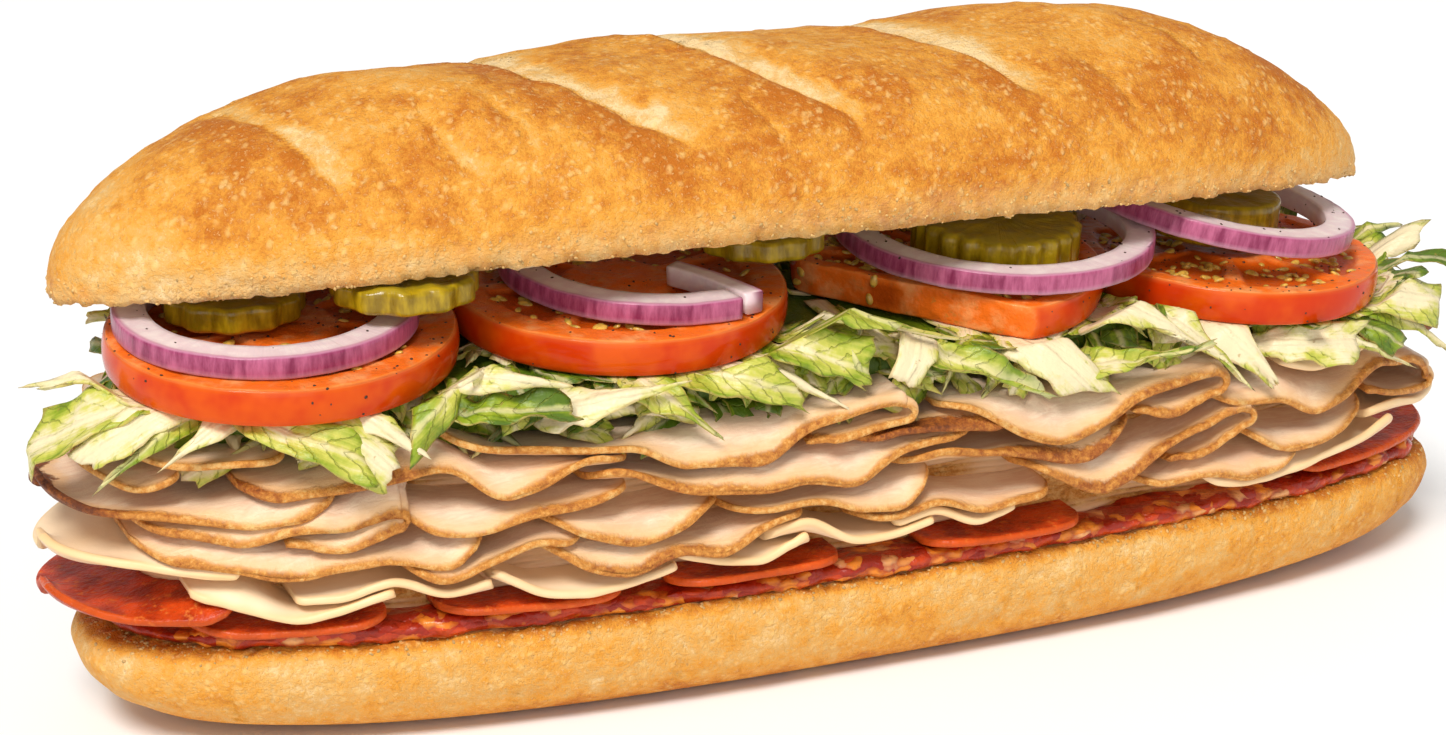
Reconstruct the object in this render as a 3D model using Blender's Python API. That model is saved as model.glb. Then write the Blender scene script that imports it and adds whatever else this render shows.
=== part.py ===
"""Long bread roll filled with turkey, cheese, pepperoni, salad, tomato, onion and pickles.

X runs along the roll, Z is up and -Y is the open front. Design sizes are in millimetres and
are turned into metres when a mesh is made. The filling is a pile: each layer is laid on the
height reached by the layers under it, on one shared grid, so that layers never meet.
"""
import math
from dataclasses import dataclass

import bmesh
import bpy
from mathutils import Euler, Vector

MM = 0.001
GAP = 0.35                     # clearance between neighbouring pieces

# Bottom half of the roll
HEEL_CENTRE = Vector((-0.9, 0.0))
HEEL_HALF_LENGTH = 148.4
HEEL_HALF_WIDTH = 39.9
HEEL_HEIGHT = 21.8
HEEL_ROUNDNESS = 2.6           # exponent of the superellipse seen from above
# Shares of the plan and heights of the side, from the foot up
HEEL_SECTION = ((0.65, 0.0), (0.78, 1.2), (0.94, 5.0), (1.0, 11.0), (1.022, 16.5), (1.0, HEEL_HEIGHT))

# Top half of the roll
CROWN_CENTRE = Vector((-9.7, 3.5))
CROWN_HALF_LENGTH = 141.3
CROWN_HALF_WIDTH = 42.0
CROWN_ROUNDNESS = 2.05
CROWN_RIM = 83.6               # height of the cut edge at the two tips
CROWN_BOW = 6.3                # how much higher the cut edge is in the middle
CROWN_PITCH = math.radians(-3.9)   # opened towards the front
CROWN_ROLL = math.radians(-0.5)    # lower towards +X
CROWN_PEAK = 121.4
CROWN_HOLLOW = 4.0             # the cut face is pressed up around the filling
# Superellipse exponents of the dome's profile, share and height, in the middle and at its two tips
MIDDLE_PROFILE = (2.2, 2.85)
RIGHT_PROFILE = (3.4, 1.67)
LEFT_PROFILE = (4.3, 1.95)
CROWN_BULGE = Vector((0.006, 0.03))    # how far the dome stands out over its cut edge
SWELLS = ((-92.6, 2.5), (-18.0, 1.7), (62.4, 3.3), (85.9, 4.2))   # place along X and height of each ridge
SWELL_WIDTH = 15.0
SWELL_SLANT = 0.9              # shift in X for each millimetre in Y

# Filling
FILL_REACH = (160.0, 151.0)      # half its length to the left and to the right
FILL_HALF_WIDTH = 43.0
FILL_ROUNDNESS = 2.3
STATION_STEP = 9.0
LAST_STATION = 144.0
LEFT_TIP = (-158.0, -151.0)
RIGHT_TIP = (147.5, 149.5)
LINES = (-1.06, -0.98, -0.90, -0.76, 0.80, 1.02)   # shares of the half width, front to back
DROOP_START = 0.70             # share of the plan from which a layer hangs down
DROOP_CURVE = 1.4
SAUCE_DEPTH = 2.2
SLICE_DEPTHS = {"pepperoni": 1.8, "cheese": 2.0, "turkey": 1.7}
LETTUCE_TOP = 70.0
LETTUCE_WAVE = 1.6
SEGMENTS = 40                  # round the outline of a roll half

# Salad on top of the lettuce
TOMATO_DEPTH = 7.2
RING_DEPTH = 4.3
RING_WALL = 6.6
RING_SEGMENTS = 24
PICKLE_RIDGES = 11
DISC_SEGMENTS = 22

COLOURS = {
    "crust": ((0.60, 0.30, 0.09), 0.65),
    "sauce": ((0.30, 0.02, 0.01), 0.25),
    "pepperoni": ((0.28, 0.04, 0.02), 0.35),
    "cheese": ((0.86, 0.68, 0.34), 0.45),
    "turkey": ((0.84, 0.66, 0.48), 0.45),
    "lettuce": ((0.52, 0.62, 0.16), 0.40),
    "tomato": ((0.72, 0.07, 0.01), 0.20),
    "onion": ((0.45, 0.10, 0.28), 0.30),
    "pickle": ((0.30, 0.30, 0.03), 0.30),
}


@dataclass(frozen=True)
class Layer:
    """One slice laid across the roll.

    start and end are places along X, level is its height in the middle of the pile, and
    edge holds the heights of its hanging front edge at even steps from start to end.
    reach is the index of the grid line where it ends. A folded slice has a flap: the
    heights of the part that is turned under, counted back from the fold at its +X end.
    """

    start: float
    end: float
    level: float
    edge: tuple
    reach: int = 0
    flap: tuple = ()
    fold_room: float = 2.0
    food: str = "turkey"


@dataclass(frozen=True)
class Disc:
    """A round slice: middle of its upper face, radius, depth and its slope down to the front and to +X."""

    x: float
    y: float
    z: float
    radius: float
    depth: float
    front_dip: float = 0.0
    side_dip: float = 0.0


FILLING = (
    Layer(-135, -99, 26, (27, 25, 25, 25, 27), food="pepperoni"),
    Layer(-90, -54, 26, (27, 26, 26, 26, 27), food="pepperoni"),
    Layer(-45, -9, 26, (28, 27, 27, 27, 28), food="pepperoni"),
    Layer(9, 45, 26, (27, 26, 26, 26, 27), food="pepperoni"),
    Layer(99, 147.5, 27, (27, 26, 26, 27, 29), food="pepperoni"),
    Layer(-158, -126, 36, (31, 27, 26, 27), food="pepperoni"),
    Layer(-135, -99, 29, (34, 30, 27, 30, 34), food="cheese"),
    Layer(-117, -81, 30, (32, 30, 29, 31, 34), food="cheese"),
    Layer(-81, -45, 30, (33, 29, 27, 27, 32), food="cheese"),
    Layer(-45, -18, 31, (34, 31, 29, 36), food="cheese"),
    Layer(-27, 9, 31, (36, 32, 31, 31, 34), food="cheese"),
    Layer(-9, 27, 32, (34, 31, 30, 30, 34), food="cheese"),
    Layer(-9, 36, 36, (35, 34, 34, 33, 33, 35)),
    Layer(72, 126, 31, (31, 28, 28, 29, 31, 33, 37), food="cheese"),
    Layer(-158, -126, 43, (41, 40, 37, 36), food="cheese"),
    Layer(117, 149.5, 38, (38, 35, 33, 34), food="cheese"),
    Layer(54, 99, 35, (34, 32, 29, 27, 28, 32)),
    Layer(-72, -18, 38, (40, 34, 30, 30, 33, 37, 40)),
    Layer(-99, -63, 40, (37, 33, 31, 33, 38)),
    Layer(-36, 9, 43, (43, 40, 37, 34, 33, 38)),
    Layer(81, 117, 41, (40, 34, 31, 33, 41)),
    Layer(-72, -36, 45, (42, 37, 36, 39, 44)),
    Layer(-144, -81, 47, (40, 35, 34, 36, 38, 36, 35, 40)),
    Layer(27, 81, 42, (41, 36, 32, 34, 42, 44, 42), flap=(38, 37, 39)),
    Layer(0, 54, 46, (49, 48, 46, 44, 40, 40, 48)),
    Layer(-99, -54, 50, (43, 42, 41, 41, 46, 50)),
    Layer(-144, -99, 49, (46, 45, 41, 42, 45, 47), flap=(42, 41, 42)),
    Layer(-63, 18, 52, (55, 50, 46, 43, 44, 46, 43, 40, 39, 43)),
    Layer(72, 135, 52, (47, 43, 40, 39, 42, 45, 45, 43), flap=(36, 33, 33), fold_room=4.5),
    Layer(-9, 27, 54, (52, 50, 47, 45, 46), reach=1),
    Layer(-158, -108, 55, (54, 49, 48, 46, 46, 49)),
    Layer(-126, -54, 56, (51, 49, 51, 53, 53, 49, 47, 48, 53), reach=1),
    Layer(9, 72, 57, (59, 55, 49, 46, 48, 51, 53, 51), reach=1, flap=(48, 46, 46)),
    Layer(-90, 0, 60, (61, 60, 60, 58, 55, 50, 48, 48, 51, 55, 58), reach=1, flap=(53, 52, 52), fold_room=2.5),
    Layer(-151, -135, 58, (56, 54, 57), reach=1),
    Layer(-144, -117, 61, (60, 58, 60, 61), reach=1),
    Layer(90, 126, 55, (51, 50, 51, 53, 53), reach=1, food="cheese"),
    Layer(99, 149.5, 56, (56, 55, 54, 52, 50, 47, 43), reach=1),
)
LETTUCE_EDGE = (58, 58, 61, 60, 64, 62, 64, 63, 60, 58, 62, 64, 63, 60, 57, 56, 57, 55, 56, 52, 47)

TOMATOES = (
    Disc(-111.3, -9.5, 79.0, 33.5, TOMATO_DEPTH, 4.8),
    Disc(-43.5, -8.0, 79.4, 34.0, TOMATO_DEPTH, 4.8, 0.5),
    Disc(28.0, -9.5, 76.8, 32.5, TOMATO_DEPTH, 5.0, 1.0),
    Disc(94.0, -9.5, 71.6, 33.0, TOMATO_DEPTH, 3.0, 3.0),
)
TOMATO_CHORD = (2, -0.62, math.radians(222))   # which slice is cut off, how far from its middle, facing where
RINGS = (
    Disc(-114.0, -9.5, 83.6, 28.5, RING_DEPTH, 4.8),
    Disc(-35.0, -6.5, 84.2, 31.0, RING_DEPTH, 4.8, 0.5),
    Disc(39.5, -8.0, 82.6, 33.0, RING_DEPTH, 5.0, 1.2),
    Disc(92.5, -6.0, 82.9, 31.0, RING_DEPTH, 5.0, 10.6),
)
OPEN_RING = 1                  # this ring is cut through, from one angle on to the other
OPEN_RING_ANGLES = (math.radians(40), math.radians(281))
ONION_END = Disc(-80.0, -48.0, 81.2, 58.0, RING_DEPTH, 4.8, 0.5)
ONION_END_ANGLES = (math.radians(14), math.radians(36))
ONION_END_WALL = 4.5
PICKLES = (
    Disc(-119.0, -5.0, 85.6, 13.5, 5.2, 2.0),
    Disc(-90.5, -20.5, 89.6, 14.0, 4.8, 1.0),
    Disc(-15.5, -14.0, 88.8, 12.8, 4.4, 1.0),
    Disc(36.5, -14.5, 85.2, 17.2, 8.2, 5.0, 1.0),
    Disc(92.5, -7.0, 83.2, 14.0, 9.0, 3.0, 4.0),
)


def clear_scene():
    """Remove whatever the file holds."""
    for item in list(bpy.data.objects):
        bpy.data.objects.remove(item, do_unlink=True)


def material(name):
    """Return the Principled material of one kind of food."""
    found = bpy.data.materials.get(name)
    if found:
        return found
    colour, roughness = COLOURS[name]
    made = bpy.data.materials.new(name)
    made.use_nodes = True
    shader = made.node_tree.nodes["Principled BSDF"]
    shader.inputs["Base Color"].default_value = (*colour, 1.0)
    shader.inputs["Roughness"].default_value = roughness
    shader.inputs["Metallic"].default_value = 0.0
    return made


def add_object(name, bm, food, smooth=True):
    """Turn a bmesh in millimetres into a named object in metres."""
    bmesh.ops.scale(bm, vec=Vector((MM, MM, MM)), verts=bm.verts)
    bmesh.ops.recalc_face_normals(bm, faces=bm.faces)
    mesh = bpy.data.meshes.new(name)
    bm.to_mesh(mesh)
    bm.free()
    if smooth:
        mesh.shade_smooth()
    made = bpy.data.objects.new(name, mesh)
    made.data.materials.append(material(food))
    bpy.context.collection.objects.link(made)
    return made


def superellipse(angle, half_length, half_width, roundness):
    """Return the plan point of a long rounded outline at an angle."""
    c, s = math.cos(angle), math.sin(angle)
    x = half_length * math.copysign(abs(c) ** (2 / roundness), c)
    y = half_width * math.copysign(abs(s) ** (2 / roundness), s)
    return Vector((x, y))


def loft(rings):
    """Build a closed solid through rings of equal length; the first and the last are capped."""
    bm = bmesh.new()
    rows = [[bm.verts.new(point) for point in ring] for ring in rings]
    count = len(rows[0])
    for low, high in zip(rows, rows[1:]):
        for k in range(count):
            n = (k + 1) % count
            bm.faces.new((low[k], low[n], high[n], high[k]))
    for ring in (rows[0], rows[-1]):
        middle = bm.verts.new(sum((v.co for v in ring), Vector()) / count)
        for k in range(count):
            bm.faces.new((ring[k], ring[(k + 1) % count], middle))
    return bm


def heel():
    """Bottom half of the roll: flat foot, bulging side and level cut face."""
    angles = [2 * math.pi * k / SEGMENTS for k in range(SEGMENTS)]
    rings = []
    for share, height in HEEL_SECTION:
        plan = [superellipse(a, HEEL_HALF_LENGTH, HEEL_HALF_WIDTH, HEEL_ROUNDNESS) * share for a in angles]
        rings.append([Vector((HEEL_CENTRE.x + p.x, p.y, height)) for p in plan])
    return add_object("bun_bottom", loft(rings), "crust")


def rim_height(x, y):
    """Height of the cut edge of the roll's top half above a plan point."""
    along = (x - CROWN_CENTRE.x) / CROWN_HALF_LENGTH
    bow = CROWN_BOW * (1 - along * along)
    return CROWN_RIM + bow + (y - CROWN_CENTRE.y) * math.tan(CROWN_PITCH) + x * math.tan(CROWN_ROLL)


def swell(x, y):
    """Height that the swellings between the baked slashes add to the crown."""
    total = 0.0
    for place, height in SWELLS:
        offset = (x - place - SWELL_SLANT * (CROWN_CENTRE.y - y)) / SWELL_WIDTH
        total += height * math.exp(-offset * offset)
    return total


def crown_point(share, angle):
    """Return a point of the crown; share runs from 1 at the cut edge to 0 at the middle."""
    plan = superellipse(angle, CROWN_HALF_LENGTH, CROWN_HALF_WIDTH, CROWN_ROUNDNESS)
    endwise = math.cos(angle) ** 2
    tip = RIGHT_PROFILE if math.cos(angle) > 0 else LEFT_PROFILE
    curve, root = (mid + (end - mid) * endwise for mid, end in zip(MIDDLE_PROFILE, tip))
    rise = (1 - share ** curve) ** (1 / root)
    bulge = math.sin(math.pi * min(rise / 0.5, 1.0))
    x = CROWN_CENTRE.x + plan.x * share * (1 + CROWN_BULGE.x * bulge)
    y = CROWN_CENTRE.y + plan.y * share * (1 + CROWN_BULGE.y * bulge)
    edge = rim_height(CROWN_CENTRE.x + plan.x * share, CROWN_CENTRE.y + plan.y * share)
    return Vector((x, y, edge + (CROWN_PEAK - edge) * rise + swell(x, y) * rise ** 2))


def crown():
    """Top half of the roll: a domed crust over a cut face that is pressed up by the filling."""
    angles = [2 * math.pi * k / SEGMENTS for k in range(SEGMENTS)]
    rings = []
    for share in (0.6, 0.92):
        ring = []
        for a in angles:
            plan = superellipse(a, CROWN_HALF_LENGTH, CROWN_HALF_WIDTH, CROWN_ROUNDNESS) * share + CROWN_CENTRE
            lift = CROWN_HOLLOW * (1 - share ** 6)
            ring.append(Vector((plan.x, plan.y, rim_height(plan.x, plan.y) + lift)))
        rings.append(ring)
    for share in (1.0, 0.99, 0.95, 0.87, 0.72, 0.5, 0.25):
        rings.append([crown_point(share, a) for a in angles])
    return add_object("bun_top", loft(rings), "crust")


def sauce():
    """Thick red sauce spread over the bottom half."""
    low = HEEL_HEIGHT + GAP
    rings = []
    for share, height in ((0.96, low), (0.985, low + 0.8), (0.95, low + SAUCE_DEPTH)):
        ring = []
        for k in range(SEGMENTS):
            plan = superellipse(2 * math.pi * k / SEGMENTS, HEEL_HALF_LENGTH, HEEL_HALF_WIDTH, HEEL_ROUNDNESS)
            ring.append(Vector((HEEL_CENTRE.x + plan.x * share, plan.y * share, height)))
        rings.append(ring)
    return add_object("sauce_layer", loft(rings), "sauce")


def stations():
    """Places along X of the shared grid."""
    count = int(LAST_STATION / STATION_STEP)
    inner = [STATION_STEP * k for k in range(-count, count + 1)]
    return [*LEFT_TIP, *inner, *RIGHT_TIP]


def along_share(x):
    """Return the part of the plan's superellipse that a place along X uses up."""
    return abs(x / FILL_REACH[x > 0]) ** FILL_ROUNDNESS


def half_width(x):
    """Half the width of the filling at a place along X."""
    return FILL_HALF_WIDTH * (1 - along_share(x)) ** (1 / FILL_ROUNDNESS)


def edge_share(x, y):
    """Return 0 in the middle of the plan and 1 on its outline."""
    along = along_share(x)
    across = abs(y / FILL_HALF_WIDTH) ** FILL_ROUNDNESS
    return (along + across) ** (1 / FILL_ROUNDNESS)


def droop(x, y, outline):
    """Return 0 where a layer lies flat and 1 at its outline, where it hangs lowest."""
    return min(max((edge_share(x, y) - DROOP_START) / (outline - DROOP_START), 0.0), 1.0)


def spread(values, share):
    """Interpolate evenly spaced values."""
    place = share * (len(values) - 1)
    k = min(int(place), len(values) - 2)
    return values[k] + (values[k + 1] - values[k]) * (place - k)


def top_of(disc, x, y):
    """Height of a disc's upper plane above a plan point."""
    front = (y - disc.y) * math.tan(math.radians(disc.front_dip))
    side = (disc.x - x) * math.tan(math.radians(disc.side_dip))
    return disc.z + front + side


class Pile:
    """The height of the filling so far, on the grid of stations and lines."""

    def __init__(self, ground):
        self.xs = stations()
        self.floor = [[ground if abs(line) < 1 else 0.0 for line in LINES] for _ in self.xs]

    def lines_within(self, reach):
        """Indices of the grid lines that a layer of this reach covers."""
        return range(reach, len(LINES))

    def index(self, x):
        """Index of the station nearest to x."""
        return min(range(len(self.xs)), key=lambda i: abs(self.xs[i] - x))

    def rows(self, first, last, heights, layer, level, room=0.0, folded=0):
        """Lay one flap from station first to last; return its lower and upper rows.

        The first rows, as many as are folded, keep room over what lies under them.
        """
        reach, depth = layer.reach, SLICE_DEPTHS[layer.food]
        step = 1 if last >= first else -1
        count = abs(last - first)
        lower, upper = [], []
        for n in range(count + 1):
            i = first + n * step
            x = self.xs[i]
            low_row, high_row = [], []
            for j in self.lines_within(reach):
                y = LINES[j] * half_width(x)
                share = n / max(count, 1)
                edge = spread(heights, share if LINES[j] < 0 else 1 - share)
                outline = -LINES[reach] if y < 0 else LINES[-1]
                hang = droop(x, y, outline)
                wanted = level - (level - edge) * hang ** DROOP_CURVE
                low = max(wanted, self.floor[i][j] + GAP + (room if n < folded else 0.0))
                thick = depth * (1 + 0.6 * hang) if abs(LINES[j]) < outline else depth * 0.8
                low_row.append(Vector((x, y, low)))
                high_row.append(Vector((x, y, low + thick)))
            lower.append(low_row)
            upper.append(high_row)
        return lower, upper

    def settle(self, rows, reach, ahead=0):
        """Record the upper rows of a layer as the new floor; ahead covers the bulge of a fold."""
        for row in rows:
            i = self.index(row[0].x)
            for j, point in zip(self.lines_within(reach), row):
                self.floor[i][j] = max(self.floor[i][j], point.z)
                if ahead and row is rows[0]:
                    self.floor[i + ahead][j] = max(self.floor[i + ahead][j], point.z)


def shell(outer, inner):
    """Closed solid between two grids of points of the same size."""
    bm = bmesh.new()
    out = [[bm.verts.new(p) for p in row] for row in outer]
    into = [[bm.verts.new(p) for p in row] for row in inner]
    rows, columns = len(out), len(out[0])
    for grid, turned in ((out, False), (into, True)):
        for i in range(rows - 1):
            for j in range(columns - 1):
                corners = (grid[i][j], grid[i + 1][j], grid[i + 1][j + 1], grid[i][j + 1])
                along = corners[1].co.x > corners[0].co.x
                for picked in ((0, 1, 2), (0, 2, 3)) if along else ((0, 1, 3), (1, 2, 3)):
                    face = [corners[k] for k in picked]
                    bm.faces.new(list(reversed(face)) if turned else face)
    border = [(i, 0) for i in range(rows)] + [(rows - 1, j) for j in range(1, columns)]
    border += [(i, columns - 1) for i in reversed(range(rows - 1))] + [(0, j) for j in reversed(range(1, columns - 1))]
    for (i, j), (m, n) in zip(border, border[1:] + border[:1]):
        bm.faces.new((out[i][j], into[i][j], into[m][n], out[m][n]))
    return bm


def fold_bend(low_outer, low_inner, high_inner, high_outer):
    """Outer and inner rows that carry a slice round a fold, from its lower to its upper flap."""
    outer, inner = [], []
    for angle in (-45, 0, 45):
        a = math.radians(angle)
        out_row, in_row = [], []
        for lo, li, hi, ho in zip(low_outer, low_inner, high_inner, high_outer):
            middle = (lo + ho) / 2
            radius = (ho.z - lo.z) / 2
            room = max((hi.z - li.z) / 2, 0.1)
            bulge = min(radius, 4.0)
            out_row.append(middle + Vector((bulge * math.cos(a), 0, radius * math.sin(a))))
            heart = (li + hi) / 2
            in_row.append(heart + Vector((0.5 * min(room, 2.0) * math.cos(a), 0, room * math.sin(a))))
        outer.append(out_row)
        inner.append(in_row)
    return outer, inner


def lay(pile, name, layer):
    """Lay one slice on the pile, folded or flat, and return its object."""
    first, last = pile.index(layer.start), pile.index(layer.end)
    if not layer.flap:
        lower, upper = pile.rows(first, last, layer.edge, layer, layer.level)
        pile.settle(upper, layer.reach)
        return add_object(name, shell(upper, lower), layer.food)
    turned = len(layer.flap)
    flap_level = layer.level - 2 * SLICE_DEPTHS[layer.food] - layer.fold_room
    flap_low, flap_high = pile.rows(last, last - turned + 1, layer.flap, layer, flap_level)
    pile.settle(flap_high, layer.reach)
    edge = tuple(reversed(layer.edge))
    main_low, main_high = pile.rows(last, first, edge, layer, layer.level, layer.fold_room, turned)
    pile.settle(main_high, layer.reach, ahead=1)
    bend_out, bend_in = fold_bend(flap_low[0], flap_high[0], main_low[0], main_high[0])
    outer = list(reversed(flap_low)) + bend_out + main_high
    inner = list(reversed(flap_high)) + bend_in + main_low
    return add_object(name, shell(outer, inner), layer.food)


def lay_lettuce(pile):
    """The heap of shredded lettuce, from the slices up to the tomatoes, with an uneven front."""
    lower, upper = [], []
    for i, x in enumerate(pile.xs):
        low_row, high_row = [], []
        for j, line in enumerate(LINES):
            y = line * half_width(x)
            edge = spread(LETTUCE_EDGE, i / (len(pile.xs) - 1))
            hang = droop(x, y, -LINES[0])
            low = max(LETTUCE_TOP - 8 - (LETTUCE_TOP - 8 - edge) * hang, pile.floor[i][j] + GAP)
            high = LETTUCE_TOP - 4 * hang + LETTUCE_WAVE * math.sin(0.9 * i + 2.1 * j)
            for tomato in TOMATOES:
                if math.hypot(x - tomato.x, y - tomato.y) < tomato.radius + 1.6 * STATION_STEP:
                    high = min(high, top_of(tomato, x, y) - tomato.depth - 2 * GAP)
            low_row.append(Vector((x, y, low)))
            high_row.append(Vector((x, y, max(high, low + 0.6))))
        lower.append(low_row)
        upper.append(high_row)
    return add_object("lettuce", shell(upper, lower), "lettuce")


def place(made, disc):
    """Turn an object built about its upper middle to the slope and place of a disc."""
    made.rotation_euler = Euler((math.radians(disc.front_dip), math.radians(disc.side_dip), 0))
    made.location = Vector((disc.x, disc.y, disc.z)) * MM
    return made


def round_slice(name, disc, food, outline, chamfer):
    """A round slice whose radius at each angle is outline(angle), with its rims taken off."""
    rings = []
    for inset, height in ((chamfer, -disc.depth), (0, chamfer - disc.depth), (0, -chamfer), (chamfer, 0)):
        ring = []
        for k in range(DISC_SEGMENTS):
            angle = 2 * math.pi * k / DISC_SEGMENTS
            radius = outline(angle) - inset
            ring.append(Vector((radius * math.cos(angle), radius * math.sin(angle), height)))
        rings.append(ring)
    return place(add_object(name, loft(rings), food), disc)


def tomato_slice(number, disc):
    """A tomato slice; one of them has a straight cut across its front."""
    which, share, facing = TOMATO_CHORD

    def outline(angle):
        if number - 1 != which:
            return disc.radius
        towards = math.cos(angle - facing)
        limit = -share * disc.radius / towards if towards > 0.05 else disc.radius
        return min(disc.radius, limit)

    return round_slice(f"tomato_slice_{number}", disc, "tomato", outline, 0.7)


def pickle_slice(number, disc):
    """A pickle slice with a crinkled rim."""

    def outline(angle):
        return disc.radius - 0.45 + 0.45 * math.cos(PICKLE_RIDGES * angle)

    return round_slice(f"pickle_slice_{number}", disc, "pickle", outline, 0.5)


def onion_ring(name, disc, wall, first=0.0, last=2 * math.pi):
    """A ring cut from a red onion, closed or as an arc from one angle to the other."""
    closed = last - first > 6.28
    count = max(4, round(RING_SEGMENTS * (last - first) / (2 * math.pi)))
    inner = disc.radius - wall
    section = (
        (disc.radius - 0.3, 0), (disc.radius, -disc.depth), (inner + 0.5, -disc.depth), (inner, 0),
    )
    bm = bmesh.new()
    rows = []
    for k in range(count if closed else count + 1):
        angle = first + (last - first) * k / count
        rows.append([bm.verts.new((r * math.cos(angle), r * math.sin(angle), z)) for r, z in section])
    pairs = list(zip(rows, rows[1:])) + ([(rows[-1], rows[0])] if closed else [])
    for near, far in pairs:
        for k in range(len(section)):
            n = (k + 1) % len(section)
            bm.faces.new((near[k], near[n], far[n], far[k]))
    if not closed:
        bm.faces.new(rows[0])
        bm.faces.new(list(reversed(rows[-1])))
    return place(add_object(name, bm, "onion"), disc)


def centre_on_base(objects):
    """Move everything so that the origin is under the middle of the whole, on its base."""
    bpy.context.view_layer.update()
    corners = [made.matrix_world @ vertex.co for made in objects for vertex in made.data.vertices]
    low = Vector([min(c[axis] for c in corners) for axis in range(3)])
    high = Vector([max(c[axis] for c in corners) for axis in range(3)])
    shift = Vector((-(low.x + high.x) / 2, -(low.y + high.y) / 2, -low.z))
    for made in objects:
        made.location += shift


def build():
    """Make every piece, from the bottom of the roll to its crown."""
    clear_scene()
    pieces = [heel(), crown(), sauce()]
    pile = Pile(HEEL_HEIGHT + GAP + SAUCE_DEPTH)
    numbers = dict.fromkeys(SLICE_DEPTHS, 0)
    for layer in FILLING:
        numbers[layer.food] += 1
        pieces.append(lay(pile, f"{layer.food}_slice_{numbers[layer.food]:02d}", layer))
    pieces.append(lay_lettuce(pile))
    for number, disc in enumerate(TOMATOES, 1):
        pieces.append(tomato_slice(number, disc))
    for number, disc in enumerate(RINGS, 1):
        span = OPEN_RING_ANGLES if number - 1 == OPEN_RING else (0.0, 2 * math.pi)
        pieces.append(onion_ring(f"onion_ring_{number}", disc, RING_WALL, *span))
    pieces.append(onion_ring("onion_end", ONION_END, ONION_END_WALL, *ONION_END_ANGLES))
    for number, disc in enumerate(PICKLES, 1):
        pieces.append(pickle_slice(number, disc))
    centre_on_base(pieces)


build()
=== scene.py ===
"""Looks of a submarine sandwich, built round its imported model.

Lengths are in millimetres until a mesh is made. X runs along the roll, -Y is its open front and Z is up.
The slices are laid again, finely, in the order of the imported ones, on a height map of the pile so far.
"""
from __future__ import annotations

import itertools
import logging
import math
from dataclasses import dataclass, field
from enum import Enum
from typing import Callable, Sequence

import bpy
import numpy as np
from mathutils import Euler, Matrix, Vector


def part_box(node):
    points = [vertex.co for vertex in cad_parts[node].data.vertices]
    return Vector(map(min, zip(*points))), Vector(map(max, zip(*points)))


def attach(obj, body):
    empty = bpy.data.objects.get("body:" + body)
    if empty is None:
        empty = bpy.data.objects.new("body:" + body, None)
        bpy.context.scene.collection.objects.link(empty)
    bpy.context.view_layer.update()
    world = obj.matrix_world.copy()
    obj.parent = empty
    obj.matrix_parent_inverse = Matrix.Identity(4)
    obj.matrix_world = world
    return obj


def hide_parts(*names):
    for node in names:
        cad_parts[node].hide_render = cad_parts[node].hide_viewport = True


Array = np.ndarray
Piece = bpy.types.Object
Material = bpy.types.Material
Colour = tuple[float, float, float]

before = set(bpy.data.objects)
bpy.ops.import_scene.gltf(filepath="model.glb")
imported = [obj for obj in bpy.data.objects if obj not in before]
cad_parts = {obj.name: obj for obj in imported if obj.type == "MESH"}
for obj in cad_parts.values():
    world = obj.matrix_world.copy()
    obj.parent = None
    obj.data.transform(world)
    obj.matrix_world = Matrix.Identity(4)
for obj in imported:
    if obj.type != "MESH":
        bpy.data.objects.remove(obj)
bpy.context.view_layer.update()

MM = 0.001
# Middle of the bottom half in the coordinates used here.
LAID_HEEL = np.array([-0.9, 0.0, 0.0])
# Middle of the heap of lettuce and of the inner meat, in the same coordinates.
HEAP_MIDDLE = np.array([-3.5, 0.0])
# Closer together than this, two numbers are taken as the same.
TINY = 1e-9
# An arc longer than this runs all the way round.
FULL_TURN = 6.28


def laid_shift() -> Array:
    """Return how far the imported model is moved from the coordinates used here."""
    low, high = (np.array(corner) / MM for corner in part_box("bun_bottom"))
    return ((low + high) / 2 - LAID_HEEL) * np.array([1.0, 1.0, 0.0])


SHIFT = laid_shift()
log = logging.getLogger("sandwich")


def ease(value: Array | float, low: float, high: float) -> Array:
    """Return a smooth step from 0 at low to 1 at high.

    Args:
        value: numbers to turn into steps.
        low: where the step starts.
        high: where the step ends.

    Returns:
        The steps, each from 0 to 1.
    """
    share = np.clip((np.asarray(value, float) - low) / (high - low), 0.0, 1.0)
    return share * share * (3.0 - 2.0 * share)


def unit(vectors: Array) -> Array:
    """Return vectors, with x, y and z last, at a length of one."""
    return vectors / np.maximum(np.linalg.norm(vectors, axis=-1, keepdims=True), TINY)


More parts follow.
